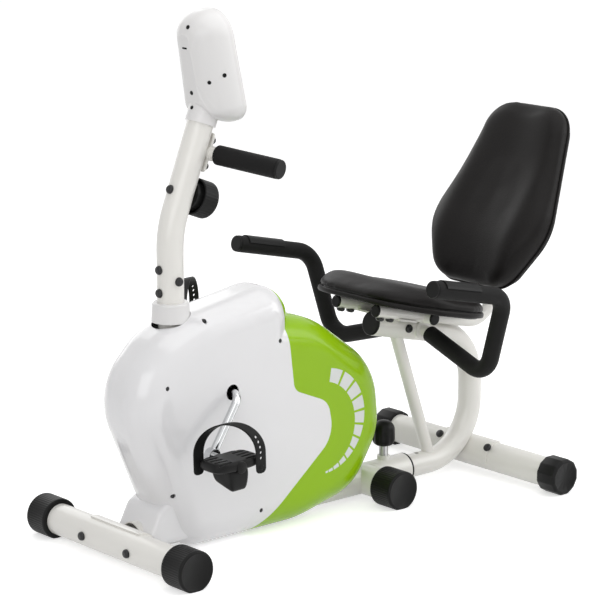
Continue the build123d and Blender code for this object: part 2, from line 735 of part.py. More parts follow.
parts["cover_screws"] = Compound(children=screws + [mirrored(screw) for screw in screws])

hood_side = [(40, 24), (40, 50), (62, 92), (96, 112), (156, 112), (156, 24)]
hood_half = 54.0
hood_edge = 12.0


def hood_form(inset):
    """Sloping cover over the main tube's front end, shrunk by an inset."""
    face = make_face(FilletPolyline(*[(front_x + x, z) for x, z in hood_side], radius=[1, 10, 30, 30, 1, 1], close=True))
    if inset:
        face = offset(face, amount=-inset)
    body = extrude(Plane.XZ * face, amount=hood_half - inset, both=True)
    rim = body.edges().filter_by(lambda edge: abs(abs(edge.center().Y) - hood_half + inset) < 0.01)
    return fillet(rim, hood_edge - inset)


open_end = slab(front_x, front_x + 170, -hood_half + hood_edge, hood_half - hood_edge, 0, foot_z)
shroud = hood_form(0) - hood_form(casing_wall) - casing_outer - open_end
shroud -= main_core
shroud -= rod((front_x, -100, foot_z), (front_x, 100, foot_z), stabiliser_r + saddle_thickness + gap)
parts["front_shroud"] = shroud

# Crank, bearings and drive pulley
crank_turn_angle = math.radians(crank_angle)
arm = Vector(math.cos(crank_turn_angle) * crank_length, 0, math.sin(crank_turn_angle) * crank_length)
hub_point = Vector(crank_x, 0, crank_z)
left_eye = hub_point + arm - Vector(0, crank_end, 0)
right_eye = hub_point - arm + Vector(0, crank_end, 0)
crank_path = [left_eye, hub_point - Vector(0, crank_turn, 0), hub_point + Vector(0, crank_turn, 0), right_eye]
crank = bent(crank_path, crank_bend, crank_rod_r)
spindles = []
for eye, side in ((left_eye, -1), (right_eye, 1)):
    out = Vector(0, side, 0)
    crank += rod(eye - out * crank_eye_width / 2, eye + out * crank_eye_width / 2, crank_eye_r)
    start = eye - out * crank_eye_width / 2
    spindle = rod(start, eye + out * (crank_eye_width / 2 + pedal_gap + pedal_width - 8), spindle_r)
    spindles.append(spindle)
for spindle in spindles:
    crank -= spindle
parts["crank"] = crank
parts["pedal_spindles"] = Compound(children=spindles)

shell_axis = [(crank_x, shell_near, crank_z), (crank_x, shell_far, crank_z)]
shell_core = rod(shell_axis[0], shell_axis[1], shell_r)
upright_y = (shell_near + shell_far) / 2
upright = rod((crank_x, upright_y, foot_z), (crank_x, upright_y, crank_z), upright_r)
brace = rod((post_x, upright_y, brace_z), (crank_x, upright_y, brace_z), brace_r)
bracket = upright + brace + shell_core
bracket -= main_core
bracket -= rod((post_x, 0, foot_z), (post_x, 0, socket_top), socket_r)
bracket -= rod(shell_axis[0], shell_axis[1], shell_r - shell_wall)
parts["bottom_bracket"] = bracket
bearings = []
for start in (shell_near, shell_far - bearing_width):
    bearings.append(pipe((crank_x, start, crank_z), (crank_x, start + bearing_width, crank_z),
                         shell_r - shell_wall, crank_rod_r + running))
pulley = rod((crank_x, pulley_near, crank_z), (crank_x, pulley_far, crank_z), pulley_r)
pulley_mid = (pulley_near + pulley_far) / 2
for y_low, y_high in ((pulley_near, pulley_mid - pulley_web / 2), (pulley_mid + pulley_web / 2, pulley_far)):
    pulley -= pipe((crank_x, y_low, crank_z), (crank_x, y_high, crank_z), pulley_r - pulley_rim, pulley_hub_r)
for index in range(pulley_holes):
    turn = 2 * math.pi * index / pulley_holes
    mid_r = (pulley_r - pulley_rim + pulley_hub_r) / 2
    x = crank_x + mid_r * math.cos(turn)
    z = crank_z + mid_r * math.sin(turn)
    pulley -= rod((x, pulley_near, z), (x, pulley_far, z), (pulley_r - pulley_rim - pulley_hub_r) * 0.36)
pulley -= rod((crank_x, pulley_near, crank_z), (crank_x, pulley_far, crank_z), crank_rod_r)
parts["drive_pulley"] = pulley


def belt_loop(extra):
    """Side-view face inside a belt running round both pulleys."""
    big, small = pulley_r + extra, small_pulley_r + extra
    dx, dz = flywheel_x - crank_x, flywheel_z - crank_z
    away = math.hypot(dx, dz)
    direction = math.atan2(dz, dx)
    lift = math.acos((big - small) / away)
    points = []
    for sign in (1, -1):
        turn = direction + sign * lift
        points.append([(crank_x + big * math.cos(turn), crank_z + big * math.sin(turn)),
                       (flywheel_x + small * math.cos(turn), flywheel_z + small * math.sin(turn))])
    between = make_face(Polyline(points[0][0], points[0][1], points[1][1], points[1][0], close=True))
    return Pos(crank_x, crank_z) * Circle(big) + Pos(flywheel_x, flywheel_z) * Circle(small) + between


belt_face = belt_loop(gap + belt_thickness) - belt_loop(gap)
belt = Pos(0, pulley_near + 1, 0) * extrude(Plane.XZ * belt_face, amount=-(pulley_far - pulley_near - 2))
parts["belt"] = belt

# Flywheel and magnetic brake
wheel_axis = [(flywheel_x, flywheel_near, flywheel_z), (flywheel_x, flywheel_far, flywheel_z)]
flywheel = rod(wheel_axis[0], wheel_axis[1], flywheel_r)
wheel_mid = (flywheel_near + flywheel_far) / 2
hub_r = bearing_r + 8
for y_low, y_high in ((flywheel_near, wheel_mid - flywheel_web / 2), (wheel_mid + flywheel_web / 2, flywheel_far)):
    flywheel -= pipe((flywheel_x, y_low, flywheel_z), (flywheel_x, y_high, flywheel_z), flywheel_r - flywheel_rim, hub_r)
parts["flywheel"] = flywheel - rod(wheel_axis[0], wheel_axis[1], bearing_r + running)
parts["flywheel_pulley"] = pipe((flywheel_x, flywheel_far, flywheel_z), (flywheel_x, pulley_far, flywheel_z),
                                small_pulley_r, axle_r + 2)
for start in (flywheel_near, flywheel_far - bearing_width):
    bearings.append(pipe((flywheel_x, start, flywheel_z), (flywheel_x, start + bearing_width, flywheel_z),
                         bearing_r, axle_r))
parts["bearings"] = Compound(children=bearings)
plate_near = -bracket_side
plate_far = pulley_far + 5
axle_ends = [plate_near - bracket_thickness - 12, plate_far + bracket_thickness + 12]
axle = rod((flywheel_x, axle_ends[0], flywheel_z), (flywheel_x, axle_ends[1], flywheel_z), axle_r)
nut = Plane.XZ * RegularPolygon(axle_r * 1.6, 6)
axle += Pos(flywheel_x, plate_near - bracket_thickness, flywheel_z) * extrude(nut, amount=8)
axle += Pos(flywheel_x, plate_far + bracket_thickness, flywheel_z) * extrude(nut, amount=-8)
parts["flywheel_axle"] = axle


def bracket_side_plate(y_low, y_high):
    """Upright plate that holds one end of the flywheel's axle."""
    side = plate([(flywheel_x - bracket_half, foot_z), (flywheel_x + bracket_half, foot_z),
                  (flywheel_x + bracket_half * 0.7, flywheel_z + bracket_half),
                  (flywheel_x - bracket_half * 0.7, flywheel_z + bracket_half)], y_low, y_high)
    return side - rod((flywheel_x, axle_ends[0], flywheel_z), (flywheel_x, axle_ends[1], flywheel_z), axle_r) - main_core


near_plate = bracket_side_plate(plate_near - bracket_thickness, plate_near)
far_plate = bracket_side_plate(plate_far, plate_far + bracket_thickness)
far_plate += slab(flywheel_x - bracket_half, flywheel_x + bracket_half, main_r * 0.7, plate_far + bracket_thickness,
                  foot_z, foot_z + 16) - main_core
pivot_turn = math.radians(brake_pivot_angle)
pivot_x = flywheel_x + brake_pivot_r * math.cos(pivot_turn)
pivot_z = flywheel_z + brake_pivot_r * math.sin(pivot_turn)
lug = plate([(pivot_x - 38, foot_z), (pivot_x - 6, foot_z), (pivot_x + 8, pivot_z + 9), (pivot_x - 10, pivot_z + 9)],
            flywheel_far + 2, flywheel_far + 7) - main_core
pivot = rod((pivot_x, flywheel_near - 3, pivot_z), (pivot_x, flywheel_far + 7, pivot_z), 5)
parts["flywheel_brackets"] = Compound(children=[near_plate, far_plate, lug + pivot])

bar_r = flywheel_r + brake_gap + magnet_thickness


def arc_bar(inner_r, outer_r, start_angle, end_angle, y_low, y_high):
    """Curved bar round the flywheel's axis between two angles of the side view."""
    ring = pipe((flywheel_x, y_low, flywheel_z), (flywheel_x, y_high, flywheel_z), outer_r, inner_r)
    fan = [(flywheel_x, flywheel_z)]
    steps = 4
    for index in range(steps + 1):
        turn = math.radians(start_angle + (end_angle - start_angle) * index / steps)
        fan.append((flywheel_x + 2 * outer_r * math.cos(turn), flywheel_z + 2 * outer_r * math.sin(turn)))
    return ring & plate(fan, y_low, y_high)


brake = arc_bar(bar_r, bar_r + brake_bar, brake_pivot_angle, brake_end, flywheel_near, flywheel_far)
brake += rod((pivot_x, flywheel_near, pivot_z), (pivot_x, flywheel_far, pivot_z), brake_eye_r)
brake -= rod((pivot_x, flywheel_near, pivot_z), (pivot_x, flywheel_far, pivot_z), 5 + running)
parts["brake_arm"] = brake
span = (brake_end - brake_start) / magnets
magnet_set = []
for index in range(magnets):
    start = brake_start + index * span + 2
    magnet_set.append(arc_bar(bar_r - magnet_thickness, bar_r, start, start + span - 4, flywheel_near + 2, flywheel_far - 2))
parts["brake_magnets"] = Compound(children=magnet_set)

# Pedals and straps
def pedal_and_strap(eye, side):
    """Pedal that turns on its spindle and the strap over it, on one side of the bike."""
    near_face = crank_end + crank_eye_width / 2 + pedal_gap
    middle = near_face + pedal_width / 2
    body = Box(pedal_length, pedal_width, pedal_height)
    body = fillet(body.edges().filter_by(Axis.Z), 12)
    body = fillet(body.edges().group_by(Axis.Z)[-1], 2)
    pitch = pedal_width / (pedal_slots + 1)
    for end in (-1, 1):
        for index in range(pedal_slots):
            y = -pedal_width / 2 + pitch * (index + 1)
            slot = Pos(end * pedal_length * 0.27, y, 0) * SlotOverall(pedal_length * 0.3, pitch * 0.4)
            body -= Pos(0, 0, pedal_height / 2 - 5) * extrude(slot, amount=6)
    weight = Pos(0, 0, -pedal_height / 2 - weight_height / 2) * Box(weight_length, pedal_width - 8, weight_height)
    body += fillet(weight.edges().group_by(Axis.Z)[0], 5)
    body -= rod((0, -pedal_width / 2, 0), (0, pedal_width / 2 - 7, 0), spindle_r + running)
    length = math.hypot(pedal_length - 8, pedal_width - 8)
    rise = strap_rise
    low = -4.0
    rx = length / 2 + strap_thickness
    arch = ThreePointArc((-rx, low), (0, rise), (rx, low))
    inner = ThreePointArc((rx - strap_thickness, low), (0, rise - strap_thickness), (strap_thickness - rx, low))
    band = make_face(arch + Line(arch @ 1, inner @ 0) + inner + Line(inner @ 1, arch @ 0))
    turn = math.degrees(math.atan2(pedal_width - 8, pedal_length - 8))
    strap = extrude(Rot(0, 0, turn) * (Plane.XZ * band), amount=strap_width / 2, dir=(1, 0, 0), both=True)
    strap -= Pos(0, 0, 0) * Box(pedal_length + 0.2, pedal_width + 0.2, pedal_height + 0.2)
    place = Pos(eye.X, middle, eye.Z) * Rot(0, pedal_tilt, 0)
    body, strap = place * body, place * strap
    if side < 0:
        return mirrored(body), mirrored(strap)
    return body, strap


parts["left_pedal"], parts["left_strap"] = pedal_and_strap(left_eye, -1)
parts["right_pedal"], parts["right_strap"] = pedal_and_strap(right_eye, 1)

os.makedirs("parts", exist_ok=True)
for name, solid in parts.items():
    export_step(solid, os.path.join("parts", f"{name}.step"))
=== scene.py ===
"""Studio scene of a compact recumbent exercise bike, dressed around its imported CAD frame.

Metres, in the CAD frame: +X to the rear of the bike, -Y to the rider's left, +Z up, floor at zero.
"""

from __future__ import annotations

import json
import logging
import math
from dataclasses import dataclass, field
from enum import Enum
from typing import Any, Callable, Sequence

import bmesh
import bpy
import numpy as np
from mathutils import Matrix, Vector

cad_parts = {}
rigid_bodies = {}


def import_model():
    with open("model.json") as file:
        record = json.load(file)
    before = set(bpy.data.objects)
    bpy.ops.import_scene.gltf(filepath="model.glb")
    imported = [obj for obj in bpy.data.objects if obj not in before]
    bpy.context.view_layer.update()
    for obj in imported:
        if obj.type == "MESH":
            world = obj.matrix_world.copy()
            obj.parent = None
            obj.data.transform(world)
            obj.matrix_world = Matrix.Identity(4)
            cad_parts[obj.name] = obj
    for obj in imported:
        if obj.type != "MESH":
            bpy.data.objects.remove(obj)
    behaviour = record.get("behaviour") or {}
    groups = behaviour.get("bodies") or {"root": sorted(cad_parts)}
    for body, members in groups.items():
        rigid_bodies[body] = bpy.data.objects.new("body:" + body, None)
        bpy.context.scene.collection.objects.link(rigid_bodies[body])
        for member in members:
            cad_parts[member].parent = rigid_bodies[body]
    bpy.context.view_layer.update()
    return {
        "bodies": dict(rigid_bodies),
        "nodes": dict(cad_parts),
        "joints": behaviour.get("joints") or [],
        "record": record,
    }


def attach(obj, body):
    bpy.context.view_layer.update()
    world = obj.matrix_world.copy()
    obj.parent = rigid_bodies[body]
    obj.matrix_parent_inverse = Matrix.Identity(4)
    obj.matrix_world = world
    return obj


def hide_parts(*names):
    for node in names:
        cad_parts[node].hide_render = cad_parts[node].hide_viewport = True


LOG = logging.getLogger("bike")
Array = np.ndarray
Object = bpy.types.Object
Socket = bpy.types.NodeSocket
Point = tuple[float, float, float]
Pair = tuple[float, float]
Triple = Sequence[float]
Inputs = dict[str | int, Any]
Shaper = Callable[[Array], Array]
Ripple = Callable[[Array, Array, Array], Array]

# Axis of the front stabiliser, from which offsets along the bike are counted
FRONT_X = -0.5334
POST_LEAN = math.radians(21.2)
QUARTER = math.pi / 2.0
# Keeps a division by a length away from zero
TINY = 1e-9
# Distances below which points are merged and faces count as closed up
MERGE, CLOSED_UP = 1e-6, 1e-7
X_AXIS, Y_AXIS, Z_AXIS = (1.0, 0.0, 0.0), (0.0, 1.0, 0.0), (0.0, 0.0, 1.0)


class Grain(Enum):
    """Kinds of surface relief, each with the detail of its noise or the feature of its cells."""

    MOULD = 0.0
    PEEL = 1.0
    BRUSHED = 3.0
    SPARK = 5.0
    CAST = 6.0
    CELLS = "F1"
    HIDE = "SMOOTH_F1"


# How far the brushed relief is drawn out along each axis
BRUSH_STRETCH = (1.0, 0.06, 1.0)
# Detail of the soft patches that vary colour and gloss
PATCH_DETAIL = 4.0
# Least and most roughness over the finish's own
GLOSS_SPREAD = (0.88, 1.15)
# Height of the relief over the size of its grain
BUMP_SHARE = 0.35


def configured(thing: Any, **settings: Any) -> Any:
    """Set attributes of a thing and give it back.

    Args:
        thing: What to change.
        settings: Values by the name of the attribute.

    Returns:
        The same thing.
    """
    for name, value in settings.items():
        setattr(thing, name, value)
    return thing


@dataclass
class Tree:
    """Node tree of a material or of the world."""

    graph: bpy.types.NodeTree

    def feed(self, node: bpy.types.Node, inputs: Inputs) -> None:
        """Link sockets to a node's inputs, or set values there.

        Args:
            node: Node to feed.
            inputs: Sockets and values for its inputs.
        """
        for key, value in inputs.items():
            if isinstance(value, Socket):
                self.graph.links.new(value, node.inputs[key])
            else:
                node.inputs[key].default_value = value

    def add(self, kind: str, output: str, inputs: Inputs, **settings: Any) -> Socket:
        """Add a node.

        Args:
            kind: Its type, less the word that all types begin with.
            output: Output that is wanted.
            inputs: Sockets and values for its inputs.
            settings: Properties of the node.

        Returns:
            Socket of that output.
        """
        node = configured(self.graph.nodes.new("ShaderNode" + kind), **settings)
        self.feed(node, inputs)
        return node.outputs[output]

    def noise(self, place: Socket, scale: float, detail: float) -> Socket:
        """Noise at the given coordinates."""
        return self.add("TexNoise", "Fac", {"Vector": place, "Scale": scale, "Detail": detail})

    def seen_directly(self, other: float, direct: float) -> Socket:
        """Strength for camera, mirror and see-through rays, and another for the rays that light the scene.

        Args:
            other: Strength for the lighting rays.
            direct: Strength for camera, glossy and transmission rays.

        Returns:
            Socket with the strength.
        """
        seen = self.add("LightPath", "Is Camera Ray", {})
        for kind in ("Is Glossy Ray", "Is Transmission Ray"):
            ray = self.add("LightPath", kind, {})
            seen = self.add("Math", "Value", {0: seen, 1: ray}, operation="MAXIMUM")
        return self.add("MapRange", "Result", {"Value": seen, "To Min": other, "To Max": direct})


@dataclass(frozen=True)
class Crescent:
    """Printed row of blocks between two circles seen from the side, narrowing and shortening as it turns down."""

    outer: Point
    outer_radius: float
    inner: Point
    inner_radius: float
    start: float
    end: float
    blocks: int
    crowding: float
    gap: float
    colour: Point

    def mask(self, tree: Tree, place: Socket) -> Socket:
        """Factor that is 1 on the blocks.

        A point counts when it lies inside the outer circle and outside the inner one. Its angle about the outer
        centre gives a share of the row, and a power of that share counts the blocks.

        Args:
            tree: Node tree of the material.
            place: Socket with the coordinates.

        Returns:
            Socket with the factor.
        """
        def number(operation: str, first: Any, second: Any = 0.0) -> Socket:
            """Math node on sockets or numbers."""
            return tree.add("Math", "Value", {0: first, 1: second}, operation=operation)

        def vector(operation: str, first: Socket, second: Point, output: str = "Vector") -> Socket:
            """Vector math node on a socket and a constant."""
            return tree.add("VectorMath", output, {0: first, 1: second}, operation=operation)
        flat = vector("MULTIPLY", place, (1.0, 0.0, 1.0))
        inside = number("LESS_THAN", vector("DISTANCE", flat, self.outer, "Value"), self.outer_radius)
        outside = number("GREATER_THAN", vector("DISTANCE", flat, self.inner, "Value"), self.inner_radius)
        away = vector("SUBTRACT", flat, self.outer)
        x, z = (tree.add("SeparateXYZ", axis, {"Vector": away}) for axis in "XZ")
        span = {"From Min": math.radians(self.end), "From Max": math.radians(self.start)}
        share = tree.add("MapRange", "Result", {"Value": number("ARCTAN2", z, x), **span})
        counted = number("MULTIPLY", number("POWER", share, self.crowding), float(self.blocks))
        phase = number("ABSOLUTE", number("SUBTRACT", number("FRACT", counted), 0.5))
        bars = number("LESS_THAN", phase, 0.5 - self.gap)
        return number("MULTIPLY", number("MULTIPLY", inside, outside), bars)


@dataclass(frozen=True)
class Finish:
    """One procedural material: colour, gloss and a relief at the real scale."""

    name: str
    colour: Point
    roughness: float
    grain: Grain
    grain_size: float
    grain_depth: float
    metallic: float = 0.0
    coat: float = 0.0
    coat_roughness: float = 0.08
    sheen: float = 0.0
    specular: float = 0.5
    variation: float = 0.05
    patch_size: float = 0.09
    pattern: Crescent | None = None

    def build(self) -> bpy.types.Material:
        """Make the node tree.

        Returns:
            The finished material.
        """
        material = bpy.data.materials.new(self.name)
        material.use_nodes = True
        tree = Tree(material.node_tree)
        place = tree.add("TexCoord", "Object", {})
        patches = tree.noise(place, 1.0 / self.patch_size, PATCH_DETAIL)
        low, high = ([min(1.0, channel * share) for channel in self.colour] + [1.0]
                     for share in (1.0 - self.variation, 1.0 + self.variation))
        colour = tree.add("Mix", "Result", {"Factor": patches, "A": low, "B": high}, data_type="RGBA")
        if self.pattern is not None:
            ink = {"Factor": self.pattern.mask(tree, place), "A": colour, "B": (*self.pattern.colour, 1.0)}
            colour = tree.add("Mix", "Result", ink, data_type="RGBA")
        least, most = (min(1.0, self.roughness * share) for share in GLOSS_SPREAD)
        gloss = tree.add("MapRange", "Result", {"Value": patches, "To Min": least, "To Max": most})
        relief = {"Height": self._relief(tree, place), "Strength": self.grain_depth}
        normal = tree.add("Bump", "Normal", {**relief, "Distance": self.grain_size * BUMP_SHARE})
        tree.feed(tree.graph.nodes["Principled BSDF"], {
            "Base Color": colour, "Roughness": gloss, "Normal": normal, "Metallic": self.metallic,
            "Coat Weight": self.coat, "Coat Roughness": self.coat_roughness, "Sheen Weight": self.sheen,
            "Specular IOR Level": self.specular})
        return material

    def _relief(self, tree: Tree, place: Socket) -> Socket:
        """Height of the surface's grain.

        Args:
            tree: Node tree of the material.
            place: Socket with the coordinates.

        Returns:
            Socket with the height.
        """
        scale = 1.0 / self.grain_size
        if self.grain in (Grain.HIDE, Grain.CELLS):
            cells = {"Vector": place, "Scale": scale}
            return tree.add("TexVoronoi", "Distance", cells, feature=self.grain.value)
        if self.grain is Grain.BRUSHED:
            place = tree.add("Mapping", "Vector", {"Vector": place, "Scale": BRUSH_STRETCH})
        return tree.noise(place, scale, self.grain.value)


BLOCKS = Crescent(outer=(FRONT_X + 0.444, 0.0, 0.198), outer_radius=0.104, inner=(FRONT_X + 0.433, 0.0, 0.187),
                  inner_radius=0.0905, start=82.0, end=-88.0, blocks=12, crowding=0.66, gap=0.09,
                  colour=(0.72, 0.74, 0.72))
# Finish of each material slot of the record
SLOT_FINISH = {
    "white_paint": Finish("white_powder_coat", (0.8, 0.785, 0.745), 0.3, Grain.PEEL, 0.0022, 0.1, coat=0.35,
                          coat_roughness=0.12, variation=0.02),
    "white_gloss": Finish("white_gloss_casing", (0.78, 0.775, 0.785), 0.2, Grain.MOULD, 0.035, 0.015, coat=0.5,
                          coat_roughness=0.04, variation=0.015, patch_size=0.25),
    "ivory_plastic": Finish("ivory_moulding", (0.76, 0.75, 0.745), 0.34, Grain.SPARK, 0.0011, 0.06, coat=0.15,
                            variation=0.02),
    "green_gloss": Finish("lime_gloss_casing", (0.295, 0.525, 0.004), 0.22, Grain.MOULD, 0.035, 0.015, coat=0.1,
                          coat_roughness=0.05, specular=0.2, variation=0.04, patch_size=0.22, pattern=BLOCKS),
    "black_plastic": Finish("black_moulding", (0.0085, 0.0085, 0.0085), 0.4, Grain.SPARK, 0.0009, 0.1, specular=0.14,
                            variation=0.25),
    "black_steel": Finish("black_oxide_steel", (0.012, 0.012, 0.013), 0.3, Grain.CAST, 0.0016, 0.08, specular=0.35,
                          variation=0.2, patch_size=0.02),
    "foam": Finish("grip_foam", (0.01, 0.0098, 0.0098), 0.62, Grain.CELLS, 0.0011, 0.35, sheen=0.01, specular=0.12,
                   variation=0.22, patch_size=0.02),
    "vinyl": Finish("seat_vinyl", (0.0088, 0.0078, 0.0076), 0.44, Grain.HIDE, 0.0022, 0.3, specular=0.13,
                    variation=0.2, patch_size=0.04),
    "chrome": Finish("bright_chrome", (0.62, 0.63, 0.64), 0.12, Grain.MOULD, 0.05, 0.01, metallic=1.0,
                     variation=0.03),
    "steel": Finish("zinc_steel", (0.5, 0.5, 0.5), 0.32, Grain.BRUSHED, 0.0015, 0.1, metallic=1.0, variation=0.1),
    "iron": Finish("turned_iron", (0.22, 0.22, 0.23), 0.42, Grain.CAST, 0.003, 0.15, metallic=1.0, variation=0.15),
    "belt_rubber": Finish("belt_rubber", (0.02, 0.02, 0.02), 0.65, Grain.SPARK, 0.0012, 0.15, variation=0.15),
    "dark_window": Finish("display_window", (0.04, 0.046, 0.042), 0.1, Grain.MOULD, 0.03, 0.01, coat=0.3),
}
# Nodes with the finish of another slot than their own
NODE_SLOT = {"cover_screws": "black_steel"}


@dataclass
class Patch:
    """Grid of surface points, with rows and columns that may wrap round."""

    points: Array
    wrap_rows: bool = False
    wrap_columns: bool = False

    def faces(self, first: int) -> Array:
        """Quads between neighbouring grid points.

        Args:
            first: Number of the grid's first vertex.

        Returns:
            Four vertex numbers for each quad.
        """
        rows, columns = self.points.shape[:2]
        row = np.arange(rows if self.wrap_rows else rows - 1)
        column = np.arange(columns if self.wrap_columns else columns - 1)
        a, b = np.meshgrid(row, column, indexing="ij")
        a_next, b_next = (a + 1) % rows, (b + 1) % columns
        quads = [a * columns + b, a * columns + b_next, a_next * columns + b_next, a_next * columns + b]
        return np.stack(quads, -1).reshape(-1, 4) + first

    def mirrored(self) -> Patch:
        """The same grid on the other side of the bike, its rows reversed so that faces still point out."""
        return Patch(self.points[::-1] * np.array([1.0, -1.0, 1.0]), self.wrap_rows, self.wrap_columns)


@dataclass
class Workshop:
    """What every sub-assembly needs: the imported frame, the materials made so far and the finishing of a piece."""

    frame: dict[str, Any]
    made: dict[str, bpy.types.Material] = field(default_factory=dict)

    def paint(self, thing: Object, finish: Finish) -> None:
        """Give an object one material, which is made on first use.

        Args:
            thing: Object to paint.
            finish: Its finish.
        """
        if finish.name not in self.made:
            self.made[finish.name] = finish.build()
        thing.data.materials.clear()
        thing.data.materials.append(self.made[finish.name])

    def paint_nodes(self) -> None:
        """Give each CAD node its finish."""
        for part in self.frame["record"]["subparts"]:
            slot = NODE_SLOT.get(part["node"], part["material_slot"])
            self.paint(self.frame["nodes"][part["node"]], SLOT_FINISH[slot])

    def make(self, name: str, patches: Sequence[Patch], body: str, slot: str, stands_for: Sequence[str] = (),
             sharp: float = 35.0) -> Object:
        """Turn grids into one closed piece in the bike's frame, dressed as dress says."""
        return self.dress(new_object(name, patches), body, slot, stands_for, sharp)

    def dress(self, piece: Object, body: str, slot: str, stands_for: Sequence[str], sharp: float) -> Object:
        """Paint a piece and say what it rides on and stands for.

        Args:
            piece: Object to dress.
            body: CAD body that it rides on.
            slot: Material slot of the record, which also gives the finish.
            stands_for: CAD nodes that it replaces.
            sharp: Angle in degrees past which an edge stays sharp.

        Returns:
            The same object.
        """
        self.paint(piece, SLOT_FINISH[slot])
        piece.data.shade_smooth()
        piece.data.set_sharp_from_angle(angle=math.radians(sharp))
        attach(piece, body)
        if stands_for:
            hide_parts(*stands_for)
        LOG.info("%s: %d faces on %s", piece.name, len(piece.data.polygons), body)
        return piece


def placed(name: str, data: Any) -> Object:
    """New object of the scene.

    Args:
        name: Name of the object.
        data: Its mesh, lamp or camera.

    Returns:
        The new object.
    """
    thing = bpy.data.objects.new(name, data)
    bpy.context.scene.collection.objects.link(thing)
    return thing


def new_object(name: str, patches: Sequence[Patch]) -> Object:
    """Turn grids into one object of the scene.

    Doubles are merged, faces that have closed up are dropped and the rest point outwards.

    Args:
        name: Name of the object.
        patches: Grids that form it.

    Returns:
        The new object.
    """
    counts = np.cumsum([0] + [grid.points[..., 0].size for grid in patches])
    points = np.concatenate([grid.points.reshape(-1, 3) for grid in patches])
    faces = np.concatenate([grid.faces(int(first)) for grid, first in zip(patches, counts)])
    mesh = bpy.data.meshes.new(name)
    mesh.from_pydata(points.tolist(), [], faces.tolist())
    work = bmesh.new()
    work.from_mesh(mesh)
    bmesh.ops.remove_doubles(work, verts=work.verts, dist=MERGE)
    bmesh.ops.dissolve_degenerate(work, edges=work.edges, dist=CLOSED_UP)
    bmesh.ops.recalc_face_normals(work, faces=work.faces)
    work.to_mesh(mesh)
    work.free()
    return placed(name, mesh)


def unit(vectors: Array | Triple) -> Array:
    """Each vector divided by its length."""
    return np.asarray(vectors) / np.linalg.norm(vectors, axis=-1, keepdims=True)


def around(segments: int) -> Array:
    """Angles evenly spaced round a full turn."""
    return np.linspace(0.0, 4.0 * QUARTER, segments, endpoint=False)


def circles(side: Array, up: Array, angle: Array) -> Array:
    """Circle of radius one in the plane of two directions, or one for each row of them."""
    return np.cos(angle)[:, None] * side[..., None, :] + np.sin(angle)[:, None] * up[..., None, :]


def ramp(value: Array, start: float, end: float) -> Array:
    """Smooth step from 0 to 1 as the value goes from start to end."""
    share = np.clip((value - start) / (end - start), 0.0, 1.0)
    return share * share * (3.0 - 2.0 * share)


def bell(value: Array, centre: float, width: float) -> Array:
    """Gaussian hump of height 1."""
    return np.exp(-((value - centre) / width) ** 2)


def at(offset: float, y: float, z: float) -> Point:
    """Point given by its distance behind the front stabiliser's axis."""
    return (FRONT_X + offset, y, z)


def quarter_arc(centre: Pair, reach: Pair, steps: int) -> list[Pair]:
    """Quarter of an ellipse in a profile, from its widest point to its end."""
    return [(centre[0] + reach[0] * math.sin(a), centre[1] + reach[1] * math.cos(a))
            for a in np.linspace(0.0, QUARTER, steps)]


def local_frame(origin: Triple, across: Triple, up: Triple) -> Shaper:
    """Map from a piece's own coordinates to the bike's.

    Args:
        origin: Where the piece's own zero lies.
        across: Direction of its first coordinate.
        up: Direction of its third coordinate.

    Returns:
        Function that takes points in the piece's frame to the bike's.
    """
    first, third = unit(across), unit(up)
    axes = np.stack([first, np.cross(third, first), third])
    return lambda points: np.asarray(origin) + points @ axes


def bends(corners: Array, radius: float | Sequence[float], step: float = 0.004) -> Array:
    """Path of straight runs joined by circular arcs.

    At each inner corner the arc starts and ends a tangent length, radius times the tangent of half the turn,
    from the corner, and its points are the arc's own, one for each step of length.

    Args:
        corners: Corner points of the route.
        radius: Radius of every arc, or one for each inner corner.
        step: Spacing of the arc's points.

    Returns:
        Points along the path.
    """
    pieces = [corners[:1]]
    radii = np.broadcast_to(radius, len(corners) - 2)
    for before, corner, after, bend in zip(corners[:-2], corners[1:-1], corners[2:], radii):
        incoming, outgoing = unit(corner - before), unit(after - corner)
        turn = math.acos(float(np.clip(incoming @ outgoing, -1.0, 1.0)))
        tangent = bend * math.tan(turn / 2.0)
        centre = corner + unit(outgoing - incoming) * math.hypot(bend, tangent)
        angle = np.linspace(0.0, turn, max(4, int(bend * turn / step)))[:, None]
        start = unit(corner - incoming * tangent - centre)
        pieces.append(centre + bend * (np.cos(angle) * start + np.sin(angle) * incoming))
    return np.concatenate([*pieces, corners[-1:]])


def outline(corners: Sequence[Pair], radii: float | Sequence[float], count: int = 160) -> Array:
    """Closed outline of straight sides and rounded corners, as points evenly spaced along it.

    Args:
        corners: Corner points in order.
        radii: Radius of every corner, or one for each.
        count: Number of points.

    Returns:
        Points in the outline's plane.
    """
    flat = np.array(corners)
    middle = (flat[:1] + flat[-1:]) / 2.0
    path = bends(np.concatenate([middle, flat, middle]), radii)
    run = np.concatenate([[0.0], np.cumsum(np.linalg.norm(np.diff(path, axis=0), axis=1))])
    even = np.linspace(0.0, run[-1], count, endpoint=False)
    return np.stack([np.interp(even, run, column) for column in path.T], -1)


